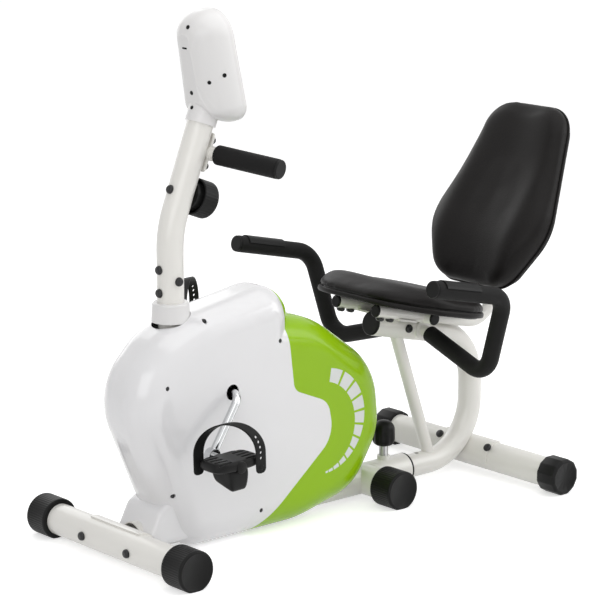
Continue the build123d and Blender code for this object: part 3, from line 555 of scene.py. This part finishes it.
def round_bar(path: Array, radius: float, edge: float, reference: Point, segments: int) -> Patch:
    """Round bar along a path, its ends flat with a rolled edge.

    At the ends the radius follows a quarter circle of the edge's radius, and closes at the middle.

    Args:
        path: Points of the centre line.
        radius: Radius of the bar.
        edge: Radius of the rolled edge.
        reference: Direction that the path never runs along.
        segments: Points round the bar.

    Returns:
        Closed surface.
    """
    tangents = unit(np.gradient(path, axis=0))
    turn = np.linspace(0.0, QUARTER, 7)
    roll = edge * (1.0 - np.cos(turn))
    shrink = radius - edge * (1.0 - np.sin(turn))
    head = path[0] + tangents[0] * roll[:, None]
    tail = path[-1] - tangents[-1] * roll[::-1][:, None]
    stations = np.concatenate([path[:1], head, path[1:-1], tail, path[-1:]])
    radii = np.concatenate([[0.0], shrink, np.full(len(path) - 2, radius), shrink[::-1], [0.0]])
    ends = [np.repeat(tangents[index][None], len(turn) + 1, 0) for index in (0, -1)]
    along = np.concatenate([ends[0], tangents[1:-1], ends[1]])
    side = unit(np.cross(along, reference))
    ring = circles(side, np.cross(along, side), around(segments))
    return Patch(stations[:, None] + radii[:, None, None] * ring, wrap_columns=True)


def turned(profile: Sequence[Pair], origin: Triple, axis: Triple, segments: int,
           ripple: Ripple | None = None) -> Patch:
    """Surface of revolution: each profile point, a distance along the axis and a radius, swept round the axis.

    Args:
        profile: Distances along the axis and radii.
        origin: Point on the axis where the distance is zero.
        axis: Direction of the axis.
        segments: Points round the axis.
        ripple: Radius to add, from the angle, the distance and the radius.

    Returns:
        Surface that wraps round the axis.
    """
    table = np.asarray(profile, float)
    distance, radius = table[:, :1], table[:, 1:]
    along = unit(axis)
    helper = Z_AXIS if abs(along[2]) < 0.9 else X_AXIS
    side = unit(np.cross(helper, along))
    angle = around(segments)
    if ripple is not None:
        radius = np.maximum(0.0, radius + ripple(angle[None, :], distance, radius))
    centre = np.asarray(origin) + distance[..., None] * along
    return Patch(centre + radius[..., None] * circles(side, np.cross(along, side), angle), wrap_columns=True)


def cord(path: Array, radius: float, normal: Triple, broad: float) -> Patch:
    """Round or broadened cord along a closed loop.

    Args:
        path: Points of the loop.
        radius: Radius of the cord.
        normal: Direction square to the loop.
        broad: Width of the cord over its height.

    Returns:
        Surface that wraps both ways.
    """
    tangents = unit(np.roll(path, -1, 0) - np.roll(path, 1, 0))
    side = unit(np.cross(tangents, normal))
    ring = circles(broad * side, np.cross(side, tangents), around(16))
    return Patch(path[:, None] + radius * ring, True, True)


def pillow(half: Point, corner: float, edge: float, count: int, relief: Shaper | None = None) -> list[Array]:
    """Closed block with rounded corners and edges, as two grids that meet at its rim.

    A square grid is drawn onto a superellipse of power corner. The height is the half height times the square root
    of one less the grid's larger coordinate to the power edge.

    Args:
        half: Half sizes along the block's own axes.
        corner: Power of the outline, larger for squarer corners.
        edge: Power of the profile, larger for sharper edges.
        count: Points along each side.
        relief: Change of the finished points, in the block's own frame.

    Returns:
        Points of the upper and the lower grid.
    """
    run = np.sin(np.linspace(-QUARTER, QUARTER, count))
    u, v = np.meshgrid(run, run, indexing="ij")
    most = np.maximum(np.abs(u), np.abs(v))
    spread = (np.abs(u) ** corner + np.abs(v) ** corner) ** (1.0 / corner)
    shrink = most / np.maximum(spread, TINY)
    height = np.sqrt(np.clip(1.0 - most ** edge, 0.0, 1.0))
    sheets = []
    for side in (1.0, -1.0):
        points = np.stack([half[0] * u * shrink, half[1] * v * shrink, side * half[2] * height], -1)
        points = points if relief is None else relief(points)
        sheets.append(points if side > 0 else points[::-1])
    return sheets


@dataclass
class Feet:
    """Moulded caps on the stabiliser tubes."""

    shop: Workshop
    axis_z: float = 0.036
    radius: float = 0.039
    length: float = 0.056
    ribs: int = 52
    rib_height: float = 0.0009
    rib_power: float = 0.6
    plain_edge: float = 0.006
    places: tuple[Pair, ...] = ((0.0, 0.234), (0.609, 0.12))
    rear_offset: float = 0.916
    rear_half: float = 0.265
    rear_sides: int = 12
    rear_length: float = 0.046
    rear_blunting: float = 1.03

    def build(self) -> None:
        """Make the ribbed round caps and the many-sided rear caps."""
        caps = [self._cap(offset, side * half, -side) for offset, half in self.places for side in (-1, 1)]
        self.shop.make("ribbed_foot_caps", caps, "frame", "black_plastic", ["foot_caps"], 50.0)
        rear = [self._rear_cap(side * self.rear_half, -side) for side in (-1, 1)]
        self.shop.make("levelling_caps", rear, "rear", "black_plastic", ["rear_caps"], 50.0)

    def _cap(self, offset: float, end_y: float, inward: float) -> Patch:
        """Round cap with fine ribs along it, cut flat where it meets the floor.

        Args:
            offset: Distance behind the front stabiliser's axis.
            end_y: Where the cap's end lies across the bike.
            inward: Sign of the way from that end to the bike's middle.

        Returns:
            Closed surface.
        """
        r, end = self.radius, self.length
        profile = [(0.0012, 0.0), (0.0012, r - 0.0062), (0.0004, r - 0.0054), (0.0, r - 0.0042), (0.0004, r - 0.0024),
                   (0.0016, r - 0.0008), (0.0034, r - 0.0001), (0.0052, r), (0.0072, r), (end - 0.0066, r),
                   (end - 0.0048, r), (end - 0.0022, r - 0.0003), (end - 0.0006, r - 0.0014), (end, r - 0.0034),
                   (end, 0.0)]

        def ripple(angle: Array, along: Array, radius: Array) -> Array:
            """Rounded grooves, their depth a power of the cosine, on the straight part of the side."""
            band = (along > self.plain_edge) & (along < end - self.plain_edge)
            groove = 1.0 - np.abs(np.cos(0.5 * self.ribs * angle)) ** self.rib_power
            return -self.rib_height * groove * band
        grid = turned(profile, at(offset, end_y, self.axis_z), (0.0, inward, 0.0), self.ribs * 4, ripple)
        grid.points[..., 2] = np.maximum(grid.points[..., 2], 0.0)
        return grid

    def _rear_cap(self, end_y: float, inward: float) -> Patch:
        """Cap with flat sides, so that turning it levels the bike.

        Args:
            end_y: Where the cap's end lies across the bike.
            inward: Sign of the way from that end to the bike's middle.

        Returns:
            Closed surface.
        """
        apothem, end = self.axis_z, self.rear_length
        profile = [(0.0016, 0.0), (0.0016, apothem - 0.009), (0.0005, apothem - 0.008), (0.0, apothem - 0.006),
                   (0.0006, apothem - 0.0026), (0.0026, apothem - 0.0006), (0.0048, apothem), (end - 0.003, apothem),
                   (end - 0.0008, apothem - 0.0008), (end, apothem - 0.003), (end, 0.0)]

        def ripple(angle: Array, along: Array, radius: Array) -> Array:
            """Extra radius of a many-sided outline with blunted corners, faded out towards the axis."""
            pitch = 2.0 * math.pi / self.rear_sides
            swing = (angle + pitch / 2.0) % pitch - pitch / 2.0
            return np.minimum(radius / np.cos(swing), radius * self.rear_blunting) - radius
        return turned(profile, at(self.rear_offset, end_y, self.axis_z), (0.0, inward, 0.0), 240, ripple)


@dataclass
class SeatHandles:
    """Foam sleeves on the bent bar beside the seat."""

    shop: Workshop
    foam_radius: float = 0.017
    edge: float = 0.004
    bend: float = 0.046
    route: tuple[Point, ...] = ((0.748, 0.036, 0.32115), (0.73, 0.2216, 0.2665), (0.7185, 0.279, 0.437),
                                (0.524, 0.284, 0.4803))
    start_gap: float = 0.009

    def build(self) -> None:
        """Make both sleeves."""
        corners = np.array([at(*corner) for corner in self.route])
        corners[0] += unit(corners[1] - corners[0]) * self.start_gap
        path = bends(corners, self.bend)
        sleeve = round_bar(path, self.foam_radius, self.edge, (1.0, 1.0, -1.0), 48)
        self.shop.make("handle_sleeves", [sleeve, sleeve.mirrored()], "rear", "foam", ["handle_foam"])


@dataclass
class Cushion:
    """Foam pad under vinyl: a crowned closed form, swollen a little by a cloth simulation.

    Its levels are the heights of its base, of its widest outline and of its top.
    """

    shop: Workshop
    name: str
    node: str
    levels: Point
    place: Shaper
    rim: Array
    sculpt: Shaper
    side_power: float = 0.34
    base_power: float = 0.1
    crown_power: float = 0.56
    rows: int = 56
    swell_cap: float = 0.002
    voxel: float = 0.0045

    def build(self) -> None:
        """Make the pad and swell it."""
        pad = new_object(self.name, [self._form()])
        swell(pad, self.voxel, self.swell_cap)
        self.shop.dress(pad, "rear", "vinyl", [self.node], 60.0)

    def _form(self) -> Patch:
        """Grid of the pad.

        The outline is scaled by a power of the cosine of a rising angle, the power small below the widest level and
        larger above it. The height is a power of the sine, scaled to the pad's base and top, and then sculpted.

        Returns:
            Closed surface in the bike's frame.
        """
        base, widest, top = self.levels
        rise = np.linspace(QUARTER, -QUARTER, self.rows)
        cosine, sine = np.abs(np.cos(rise)), np.abs(np.sin(rise))
        share = np.where(rise > 0.0, cosine ** self.side_power, cosine ** self.base_power)
        share[0] = share[-1] = 0.0
        height = widest + np.where(rise > 0.0, (top - widest) * sine ** self.crown_power, (base - widest) * sine)
        flat = share[:, None, None] * self.rim[None]
        points = np.concatenate([flat, np.broadcast_to(height[:, None, None], flat.shape[:2] + (1,))], -1)
        return Patch(self.place(self.sculpt(points)), wrap_columns=True)


def swell(pad: Object, voxel: float, cap: float, pressure: float = 4.0, frames: int = 20,
          rounds: int = 10) -> None:
    """Remesh a pad, blow it up gently as cloth under pressure and keep each point within a cap of where it began.

    Args:
        pad: Object to change.
        voxel: Remesh size.
        cap: Largest move of a point.
        pressure: Pressure inside the cloth.
        frames: Length of the simulation.
        rounds: Passes of the smoothing that follows.
    """
    configured(pad.modifiers.new("even", "REMESH"), mode="VOXEL", voxel_size=voxel)
    bake(pad)
    before = vertices(pad.data)
    cloth = pad.modifiers.new("cloth", "CLOTH").settings
    configured(cloth, use_pressure=True, uniform_pressure_force=pressure)
    cloth.effector_weights.gravity = 0.0
    scene = bpy.context.scene
    for moment in range(1, frames + 1):
        scene.frame_set(moment)
    bake(pad)
    moved = vertices(pad.data) - before
    length = np.linalg.norm(moved, axis=1, keepdims=True)
    kept = before + moved * np.minimum(1.0, cap / np.maximum(length, TINY))
    pad.data.vertices.foreach_set("co", kept.astype(np.float32).ravel())
    scene.frame_set(1)
    configured(pad.modifiers.new("even", "SMOOTH"), factor=0.5, iterations=rounds)
    configured(pad.modifiers.new("finer", "SUBSURF"), levels=1, render_levels=1)
    bake(pad)


def vertices(mesh: bpy.types.Mesh) -> Array:
    """Vertex places of a mesh.

    Args:
        mesh: Mesh to read.

    Returns:
        One row for each vertex.
    """
    flat = np.empty(len(mesh.vertices) * 3, np.float32)
    mesh.vertices.foreach_get("co", flat)
    return flat.reshape(-1, 3).astype(float)


def bake(piece: Object) -> None:
    """Replace a piece's mesh by what its modifiers give and remove them.

    Args:
        piece: Object to change.
    """
    graph = bpy.context.evaluated_depsgraph_get()
    result = bpy.data.meshes.new_from_object(piece.evaluated_get(graph))
    piece.modifiers.clear()
    old = piece.data
    piece.data = result
    bpy.data.meshes.remove(old)


@dataclass
class Upholstery:
    """Seat cushion and backrest, each with a cord round its rim."""

    shop: Workshop
    seat_origin: Point = (0.708, 0.0, 0.375)
    seat_tilt: float = 13.5
    seat_half: Pair = (0.142, 0.16)
    seat_corner: float = 0.112
    seat_levels: Point = (0.0086, 0.017, 0.054)
    seat_side: float = 0.28
    seat_sink: float = 0.007
    seat_dish: float = 0.004
    seat_roll: float = 0.026
    skirt_radius: float = 0.0052
    skirt_broad: float = 0.6
    skirt_inset: float = 0.982
    skirt_rise: float = 0.0015
    skirt_hang: float = 0.0022
    back_origin: Point = (0.9945, 0.0, 0.566)
    back_lean: float = 27.2
    back_corners: tuple[Pair, ...] = ((0.095, -0.197), (0.158, -0.07), (0.098, 0.197))
    back_radii: tuple[float, ...] = (0.062, 0.13, 0.066)
    back_levels: Point = (-0.025, -0.002, 0.03)
    back_base: float = 0.06
    back_swell: float = 0.01
    back_hollow: float = 0.007
    back_wings: float = 0.007
    back_furrow: float = 0.006
    back_sink: float = 0.002
    cord_radius: float = 0.0024
    cord_inset: float = 0.99
    cord_level: float = -0.01

    def build(self) -> None:
        """Make both cushions and their cords."""
        tilt, lean = math.radians(self.seat_tilt), math.radians(self.back_lean)
        seat_up = (math.sin(tilt), 0.0, math.cos(tilt))
        on_seat = local_frame(at(*self.seat_origin), (math.cos(tilt), 0.0, -math.sin(tilt)), seat_up)
        back_out = (-math.cos(lean), 0.0, math.sin(lean))
        on_back = local_frame(at(*self.back_origin), (0.0, -1.0, 0.0), back_out)
        half_x, half_y = self.seat_half
        seat_corners = [(half_x, -half_y), (half_x, half_y), (-half_x, half_y), (-half_x, -half_y)]
        seat_rim = outline(seat_corners, self.seat_corner)
        far = [(-x, y) for x, y in reversed(self.back_corners)]
        back_rim = outline([*self.back_corners, *far], self.back_radii + self.back_radii[::-1])
        Cushion(self.shop, "seat_cushion", "seat_pad", self.seat_levels, on_seat, seat_rim, self.seat_shape,
                side_power=self.seat_side).build()
        Cushion(self.shop, "backrest_cushion", "back_pad", self.back_levels, on_back, back_rim, self.back_shape,
                base_power=self.back_base).build()
        skirt = self.seat_levels[0] + self.skirt_rise + self.skirt_hang * (seat_rim[:, :1] / half_x - 1.0)
        seat_loop = np.concatenate([seat_rim * self.skirt_inset, skirt], 1)
        level = np.full((len(back_rim), 1), self.cord_level)
        back_loop = np.concatenate([back_rim * self.cord_inset, level], 1)
        cords = [cord(on_seat(seat_loop), self.skirt_radius, seat_up, self.skirt_broad),
                 cord(on_back(back_loop), self.cord_radius, back_out, 1.0)]
        self.shop.make("rim_cords", cords, "rear", "vinyl")

    def seat_shape(self, points: Array) -> Array:
        """Raised front that rolls back, with a dish behind it.

        Args:
            points: Grid of the pad in its own frame, which is changed.

        Returns:
            The same grid.
        """
        x, y, z = np.moveaxis(points.copy(), -1, 0)
        away = np.hypot(x / self.seat_half[0], y / self.seat_half[1])
        sunk = self.seat_sink * (1.0 + ramp(x, -0.085, 0.015)) + self.seat_dish * bell(away, 0.0, 0.5)
        points[..., 2] -= ramp(z, 0.02, 0.046) * sunk
        points[..., 0] += self.seat_roll * ramp(z, 0.016, 0.05) * ramp(-x, 0.06, 0.14)
        return points

    def back_shape(self, points: Array) -> Array:
        """Lumbar swell, a hollow above it and raised sides, on the rider's side only.

        Args:
            points: Grid of the pad in its own frame, which is changed.

        Returns:
            The same grid.
        """
        x, y, z = np.moveaxis(points, -1, 0)
        wings = self.back_wings * bell(np.abs(x), 0.098, 0.03) * ramp(-y, -0.13, 0.03)
        spine = self.back_swell * bell(y, -0.1, 0.06) - self.back_hollow * bell(y, 0.06, 0.08)
        furrow = self.back_furrow * bell(x, 0.0, 0.06)
        points[..., 2] += ramp(z, -0.015, 0.02) * (spine - self.back_sink - furrow + wings)
        return points


@dataclass
class HandGrips:
    """Foam sleeve on the front handle, which stands out to the rider's left."""

    shop: Workshop
    root: Point = (0.21859, -0.0168, 0.73457)
    sweep: float = 16.5
    reach: float = 0.1482
    length: float = 0.137
    radius: float = 0.0185
    edge: float = 0.0035

    def build(self) -> None:
        """Make the sleeve."""
        turn = math.radians(self.sweep)
        out = np.array([math.sin(turn) * math.cos(POST_LEAN), -math.cos(turn), -math.sin(turn) * math.sin(POST_LEAN)])
        share = np.linspace(self.reach - self.length, self.reach, 30)[:, None]
        grip = round_bar(np.array(at(*self.root)) + out * share, self.radius, self.edge, Z_AXIS, 56)
        self.shop.make("front_grip_foam", [grip], "frame", "foam", ["handlebar_grip"])


@dataclass
class Knobs:
    """Tension knob behind the post and the pull knob that locks the seat's slide."""

    shop: Workshop
    tension_root: Point = (0.131 + 0.0686 * math.tan(POST_LEAN), 0.0, 0.6686)
    tension_radius: float = 0.035
    tension_span: Pair = (0.03, 0.067)
    tension_ribs: int = 36
    rib_depth: float = 0.0005
    lock_offset: float = 0.667
    lock_radius: float = 0.0225
    lock_span: Pair = (0.094, 0.145)
    lock_bore: float = 0.0093
    lock_flutes: int = 10
    flute_depth: float = 0.0022

    def build(self) -> None:
        """Make both knobs."""
        self.shop.make("tension_dial", [self._tension()], "tension_knob", "black_plastic", ["tension_knob"], 40.0)
        self.shop.make("fluted_pull_knob", [self._lock()], "lock_pin", "black_plastic", ["lock_knob"], 40.0)

    def _tension(self) -> Patch:
        """Cup with a ribbed rim, open towards the post.

        Returns:
            Closed surface.
        """
        r, (low, top) = self.tension_radius, self.tension_span
        edge, wall, bore, hub = 0.007, 0.003, 0.0124, 0.016
        inner, hub_end, face = top - wall, low + 0.014, top - 0.0008
        profile = [(inner, 0.0), (inner, bore), (hub_end, bore), (hub_end, hub), (inner, hub), (inner, r - wall),
                   (low, r - wall), (low, r - 0.0006), (low + 0.001, r), (low + 0.003, r), (top - 0.01, r),
                   *quarter_arc((top - edge, r - edge), (edge, edge), 7), (top, r - 0.01), (face, r - 0.011),
                   (face, 0.004), (face, 0.0)]

        def ripple(angle: Array, along: Array, radius: Array) -> Array:
            """Grip ribs on the rim, a power of the cosine deep."""
            band = (radius > r - 0.0002) & (along > low + 0.002) & (along < top - edge)
            return -self.rib_depth * (1.0 - np.abs(np.cos(0.5 * self.tension_ribs * angle)) ** 0.7) * band
        axis = (math.cos(POST_LEAN), 0.0, -math.sin(POST_LEAN))
        return turned(profile, at(*self.tension_root), axis, self.tension_ribs * 6, ripple)

    def _lock(self) -> Patch:
        """Domed knob with finger flutes and its pin below.

        Returns:
            Closed surface.
        """
        r, bore, (low, top) = self.lock_radius, self.lock_bore, self.lock_span
        pin, pin_end, socket_end = 0.005, 0.0615, 0.112
        foot = quarter_arc((low + 0.012, r - 0.01), (-0.012, 0.01), 9)[::-1]
        dome = quarter_arc((top - 0.02, r - 0.019), (0.02, 0.019), 9)
        profile = [(pin_end, 0.0), (pin_end, pin), (socket_end, pin), (socket_end, bore), (low, bore), *foot,
                   (low + 0.016, r), (low + 0.024, r), *dome, (top + 0.0004, 0.0)]

        def ripple(angle: Array, along: Array, radius: Array) -> Array:
            """Finger flutes, deepest half way up the knob."""
            middle = bell(along, low + 0.018, 0.014) * (radius > bore + 0.0001)
            return -self.flute_depth * middle * (0.5 + 0.5 * np.cos(self.lock_flutes * angle))
        return turned(profile, at(self.lock_offset, 0.0, 0.0), Z_AXIS, 200, ripple)


@dataclass
class ConsoleDetail:
    """Sunk screws, a cable hole, a jack and a vent slot on the back of the console, each a place and a direction."""

    shop: Workshop
    screws: tuple[tuple[Point, Point], ...] = (
        ((0.1707, -0.0094, 0.9685), (-0.904, -0.124, 0.409)), ((0.218, -0.0543, 0.8819), (-0.319, -0.948, -0.013)),
        ((0.218, 0.0543, 0.8819), (-0.319, 0.948, -0.013)), ((0.1852, 0.0, 0.8474), (-0.983, 0.0, -0.182)))
    holes: tuple[tuple[Point, Point], ...] = (((0.1855, 0.0, 0.8207), (-0.932, 0.0, 0.361)),
                                              ((0.195, -0.0391, 0.8694), (-0.72, -0.686, -0.1)))
    slot: tuple[Point, Point] = ((0.17, 0.0, 0.9297), (-0.983, 0.0, -0.182))
    slot_half: Point = (0.0065, 0.0016, 0.001)

    def build(self) -> None:
        """Make all the small details as one piece."""
        sunk = [(-0.004, 0.0), (-0.004, 0.004), (0.0004, 0.004), (0.0009, 0.0036), (0.0009, 0.0031),
                (0.0004, 0.0028), (0.0004, 0.0)]
        jack = [(-0.004, 0.0), (-0.004, 0.0036), (0.0006, 0.0036), (0.0012, 0.0031), (0.0012, 0.0024),
                (0.0004, 0.0021), (0.0004, 0.0)]
        pieces = [turned(profile, at(*place), out, 36) for profile, spots in ((sunk, self.screws), (jack, self.holes))
                  for place, out in spots]
        on_slot = local_frame(at(*self.slot[0]), Y_AXIS, self.slot[1])
        pieces += [Patch(on_slot(sheet)) for sheet in pillow(self.slot_half, 6.0, 10.0, 20)]
        self.shop.make("console_back_details", pieces, "frame", "black_plastic")


@dataclass
class Pedal:
    """Foot platform with its weight below and a strap over it, on one side of the bike.

    The eye is where the crank ends, as x and z.
    """

    shop: Workshop
    side: int
    eye: Pair
    middle: float = 0.168
    tilt: float = -1.5
    sink: float = 0.0012
    half: Point = (0.054, 0.034, 0.01)
    dish: float = 0.0016
    groove_depth: float = 0.0032
    groove_pitch: float = 0.013
    weight_half: Point = (0.0235, 0.03, 0.019)
    weight_taper: Pair = (0.22, 0.08)
    weight_drop: float = 0.0265
    weight_slant: float = 0.007
    strap_foot: Pair = (0.0435, 0.0356)
    strap_radius: float = 0.05621
    strap_middle: float = 0.014
    strap_width: float = 0.024
    strap_thickness: float = 0.0026
    strap_reach: float = 130.0
    strap_tongue: float = 0.2
    stud_level: float = -0.013
    holes: int = 5
    hole_radius: float = 0.0027
    hole_length: float = 0.008
    hole_first: float = 58.0
    hole_step: float = 10.5

    def build(self) -> None:
        """Make the platform and the strap."""
        word = "left" if self.side < 0 else "right"
        body, slot = f"{word}_pedal", "black_plastic"
        self.shop.make(f"{word}_foot_platform", self._platform(), body, slot, [f"{word}_pedal"], 40.0)
        strap = self.shop.make(f"{word}_toe_strap", self._strap(), body, slot, [f"{word}_strap"], 40.0)
        self._punch(strap)

    def _place(self, points: Array) -> Array:
        """Tilt points about the spindle and bring them to the crank's end.

        Args:
            points: Points in the pedal's own frame.

        Returns:
            Points in the bike's frame.
        """
        x, y, z = np.moveaxis(points, -1, 0)
        cosine, sine = math.cos(math.radians(self.tilt)), math.sin(math.radians(self.tilt))
        level = np.stack([x * cosine + z * sine, self.side * y, z * cosine - x * sine], -1)
        return level + np.array([self.eye[0], self.side * self.middle, self.eye[1]])

    def _turned(self, profile: Sequence[Pair], origin: Triple, axis: Triple, segments: int) -> Patch:
        """Surface of revolution that is given in the pedal's own frame."""
        return Patch(self._place(turned(profile, origin, axis, segments).points), wrap_columns=True)

    def _platform(self) -> list[Patch]:
        """Tread with grooves at both ends, the weight under it and the boss round the spindle.

        Returns:
            Closed surfaces.
        """

        def tread(points: Array) -> Array:
            """Grooves along the foot: a smooth trench at each spacing across, near both ends of the upper face."""
            x, y = points[..., 0], points[..., 1]
            ends = ramp(np.abs(x), 0.016, 0.019) * ramp(-np.abs(x), -0.046, -0.043)
            wave = np.abs((y / self.groove_pitch + 0.5) % 1.0 - 0.5)
            trench = ramp(-wave, -0.24, -0.17) * ramp(-np.abs(y), -0.029, -0.027)
            dish = self.dish * np.cos(np.clip(x / self.half[0], -1.0, 1.0) * QUARTER)
            upper = points[..., 2] > 0.004
            points[..., 2] -= upper * (self.groove_depth * ends * trench + dish) + self.sink
            return points

        def weight(points: Array) -> Array:
            """Block that narrows towards its foot and slants across."""
            share = (self.weight_half[2] - points[..., 2]) / (2.0 * self.weight_half[2])
            points[..., 0] *= 1.0 - self.weight_taper[0] * share
            points[..., 1] *= 1.0 - self.weight_taper[1] * share
            points[..., 2] -= self.weight_drop + self.weight_slant * share * points[..., 1] / self.weight_half[1]
            return points
        sheets = pillow(self.half, 3.6, 14.0, 150, tread) + pillow(self.weight_half, 9.0, 14.0, 36, weight)
        boss = [(0.0, 0.0), (0.0, 0.0096), (0.0006, 0.0106), (0.002, 0.0112), (0.069, 0.0112), (0.0702, 0.0106),
                (0.071, 0.0096), (0.071, 0.0)]
        grids = [Patch(self._place(sheet)) for sheet in sheets]
        return grids + [self._turned(boss, (0.0, -0.035, -0.0048), Y_AXIS, 48)]

    def _strap_line(self, angle: Array) -> tuple[Array, Array]:
        """Centre line of the strap and its outward normal.

        The line is a half circle in the upright plane through both feet of the strap, and runs straight down past
        them. The normal is square to the line and to the strap's width, which lies along the pedal.

        Args:
            angle: Angles from the top of the arc.

        Returns:
            Points and normals, in the pedal's own frame.
        """
        foot = unit(np.array([*self.strap_foot, 0.0]))
        bent = np.clip(angle, -QUARTER, QUARTER)[..., None]
        up = np.array(Z_AXIS)
        points = self.strap_radius * (np.sin(bent) * foot + np.cos(bent) * up)
        points[..., 2] += self.strap_middle - self.strap_radius * (np.abs(angle) - np.abs(bent[..., 0]))
        return points, unit(np.cross(X_AXIS, np.cos(bent) * foot - np.sin(bent) * up))

    def _strap(self) -> list[Patch]:
        """Band over the foot from the inner front corner to the outer rear one, with round ends and its stud.

        The half width falls off as a circle at both ends, and the thickness closes at the rim as a root of the
        distance across.

        Returns:
            Closed surfaces.
        """
        reach = math.radians(self.strap_reach)
        run = np.linspace(-reach, reach, 190)
        across = np.sin(np.linspace(-QUARTER, QUARTER, 25))
        angle, width = np.meshgrid(run, across, indexing="ij")
        tongue = np.clip((np.abs(angle) - reach + self.strap_tongue) / self.strap_tongue, 0.0, 1.0)
        half_width = 0.5 * self.strap_width * np.sqrt(np.clip(1.0 - tongue ** 2.6, 0.0, 1.0))
        rim = np.maximum(np.abs(width), tongue ** 6)
        thick = 0.5 * self.strap_thickness * np.sqrt(np.clip(1.0 - rim ** 8, 0.0, 1.0))
        points, normal = self._strap_line(angle)
        points[..., 0] += half_width * width
        grids = [Patch(self._place(points + thick[..., None] * normal)),
                 Patch(self._place((points - thick[..., None] * normal)[::-1]))]
        stud = [(-0.003, 0.0), (-0.003, 0.0052), (0.0016, 0.0052), (0.003, 0.004), (0.0034, 0.0)]
        return grids + [self._turned(stud, (*self.strap_foot, self.stud_level), Y_AXIS, 32)]

    def _punch(self, strap: Object) -> None:
        """Cut the row of buckle holes through the strap's outer leg.

        Args:
            strap: Object to cut.
        """
        r, length = self.hole_radius, self.hole_length
        pins = []
        for index in range(self.holes):
            middle, out = self._strap_line(np.radians(self.hole_first + self.hole_step * index))
            profile = [(0.0, 0.0), (0.0, r), (length, r), (length, 0.0)]
            pins.append(self._turned(profile, middle - length / 2.0 * out, out, 20))
        cutter = new_object("punch", pins)
        cut = strap.modifiers.new("holes", "BOOLEAN")
        configured(cut, operation="DIFFERENCE", object=cutter, solver="EXACT")
        bake(strap)
        bpy.data.objects.remove(cutter)


@dataclass
class Studio:
    """Camera, lamps, floor and background. Each lamp has a name, a place, a size and a power."""

    azimuth: float = -41.16
    elevation: float = 12.9
    distance: float = 4.8343
    target: Point = (FRONT_X + 0.458, 0.0, 0.4122)
    focal_pixels: float = 2518.65
    frame_pixels: float = 610.0
    sensor: float = 36.0
    clip_end: float = 60.0
    lamps: tuple[tuple[str, Point, float, float], ...] = (
        ("top_box", (0.2, -0.6, 2.6), 2.6, 25.0), ("left_box", (-2.4, -1.6, 1.5), 1.8, 18.0),
        ("right_box", (2.2, -1.9, 1.6), 1.8, 26.0), ("rear_box", (0.4, 2.6, 1.7), 2.0, 15.0))
    lamp_aim: Point = (0.0, 0.0, 0.45)
    fill: float = 0.5
    white: tuple[float, ...] = (1.0, 1.0, 1.0, 1.0)
    floor_half: float = 14.0
    floor_colour: tuple[float, ...] = (0.82, 0.82, 0.82, 1.0)
    floor_roughness: float = 0.6
    floor_glow: float = 0.55

    def build(self) -> None:
        """Make the whole set."""
        self._camera()
        self._lamps()
        self._world()
        self._floor()

    def _camera(self) -> None:
        """Camera at the photograph's angle, fitted from the bike's own points."""
        turn, tilt = math.radians(self.azimuth), math.radians(self.elevation)
        back = Vector((math.sin(turn) * math.cos(tilt), -math.cos(turn) * math.cos(tilt), math.sin(tilt)))
        lens = self.focal_pixels / self.frame_pixels * self.sensor
        data = bpy.data.cameras.new("camera")
        camera = placed("camera", configured(data, sensor_width=self.sensor, lens=lens, clip_end=self.clip_end))
        camera.location = Vector(self.target) + back * self.distance
        camera.rotation_euler = back.to_track_quat("Z", "Y").to_euler()
        bpy.context.scene.camera = camera

    def _lamps(self) -> None:
        """Large soft boxes over the bike, at both sides and behind it."""
        for name, place, size, power in self.lamps:
            lamp = configured(bpy.data.lights.new(name, "AREA"), shape="SQUARE", size=size, energy=power)
            aim = (Vector(place) - Vector(self.lamp_aim)).to_track_quat("Z", "Y")
            configured(placed(name, lamp), location=place, rotation_euler=aim.to_euler())

    def _world(self) -> None:
        """White to the camera and in reflections, a soft fill elsewhere."""
        world = bpy.data.worlds.new("studio")
        world.use_nodes = True
        bpy.context.scene.world = world
        tree = Tree(world.node_tree)
        strength = tree.seen_directly(self.fill, 1.0)
        tree.feed(tree.graph.nodes["Background"], {"Color": self.white, "Strength": strength})

    def _floor(self) -> None:
        """Pale floor that keeps the shadow and is white to the camera where it is lit."""
        half = self.floor_half
        corners = [(-half, -half, 0.0), (half, -half, 0.0), (half, half, 0.0), (-half, half, 0.0)]
        mesh = bpy.data.meshes.new("floor")
        mesh.from_pydata(corners, [], [(0, 1, 2, 3)])
        floor = placed("floor", mesh)
        material = bpy.data.materials.new("studio_floor")
        material.use_nodes = True
        tree = Tree(material.node_tree)
        tree.feed(tree.graph.nodes["Principled BSDF"], {
            "Base Color": self.floor_colour, "Roughness": self.floor_roughness, "Emission Color": self.white,
            "Emission Strength": tree.seen_directly(0.0, self.floor_glow)})
        mesh.materials.append(material)


def main() -> None:
    """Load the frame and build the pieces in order."""
    bpy.context.scene.view_settings.view_transform = "Standard"
    logging.basicConfig(level=logging.INFO, format="%(name)s: %(message)s")
    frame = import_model()
    shop = Workshop(frame)
    shop.paint_nodes()
    Feet(shop).build()
    SeatHandles(shop).build()
    Upholstery(shop).build()
    HandGrips(shop).build()
    Knobs(shop).build()
    ConsoleDetail(shop).build()
    Pedal(shop, -1, (-0.402696, 0.201387)).build()
    Pedal(shop, 1, (-0.228104, 0.388613)).build()
    Studio().build()
    LOG.info("scene built")


if __name__ == "__main__":
    main()
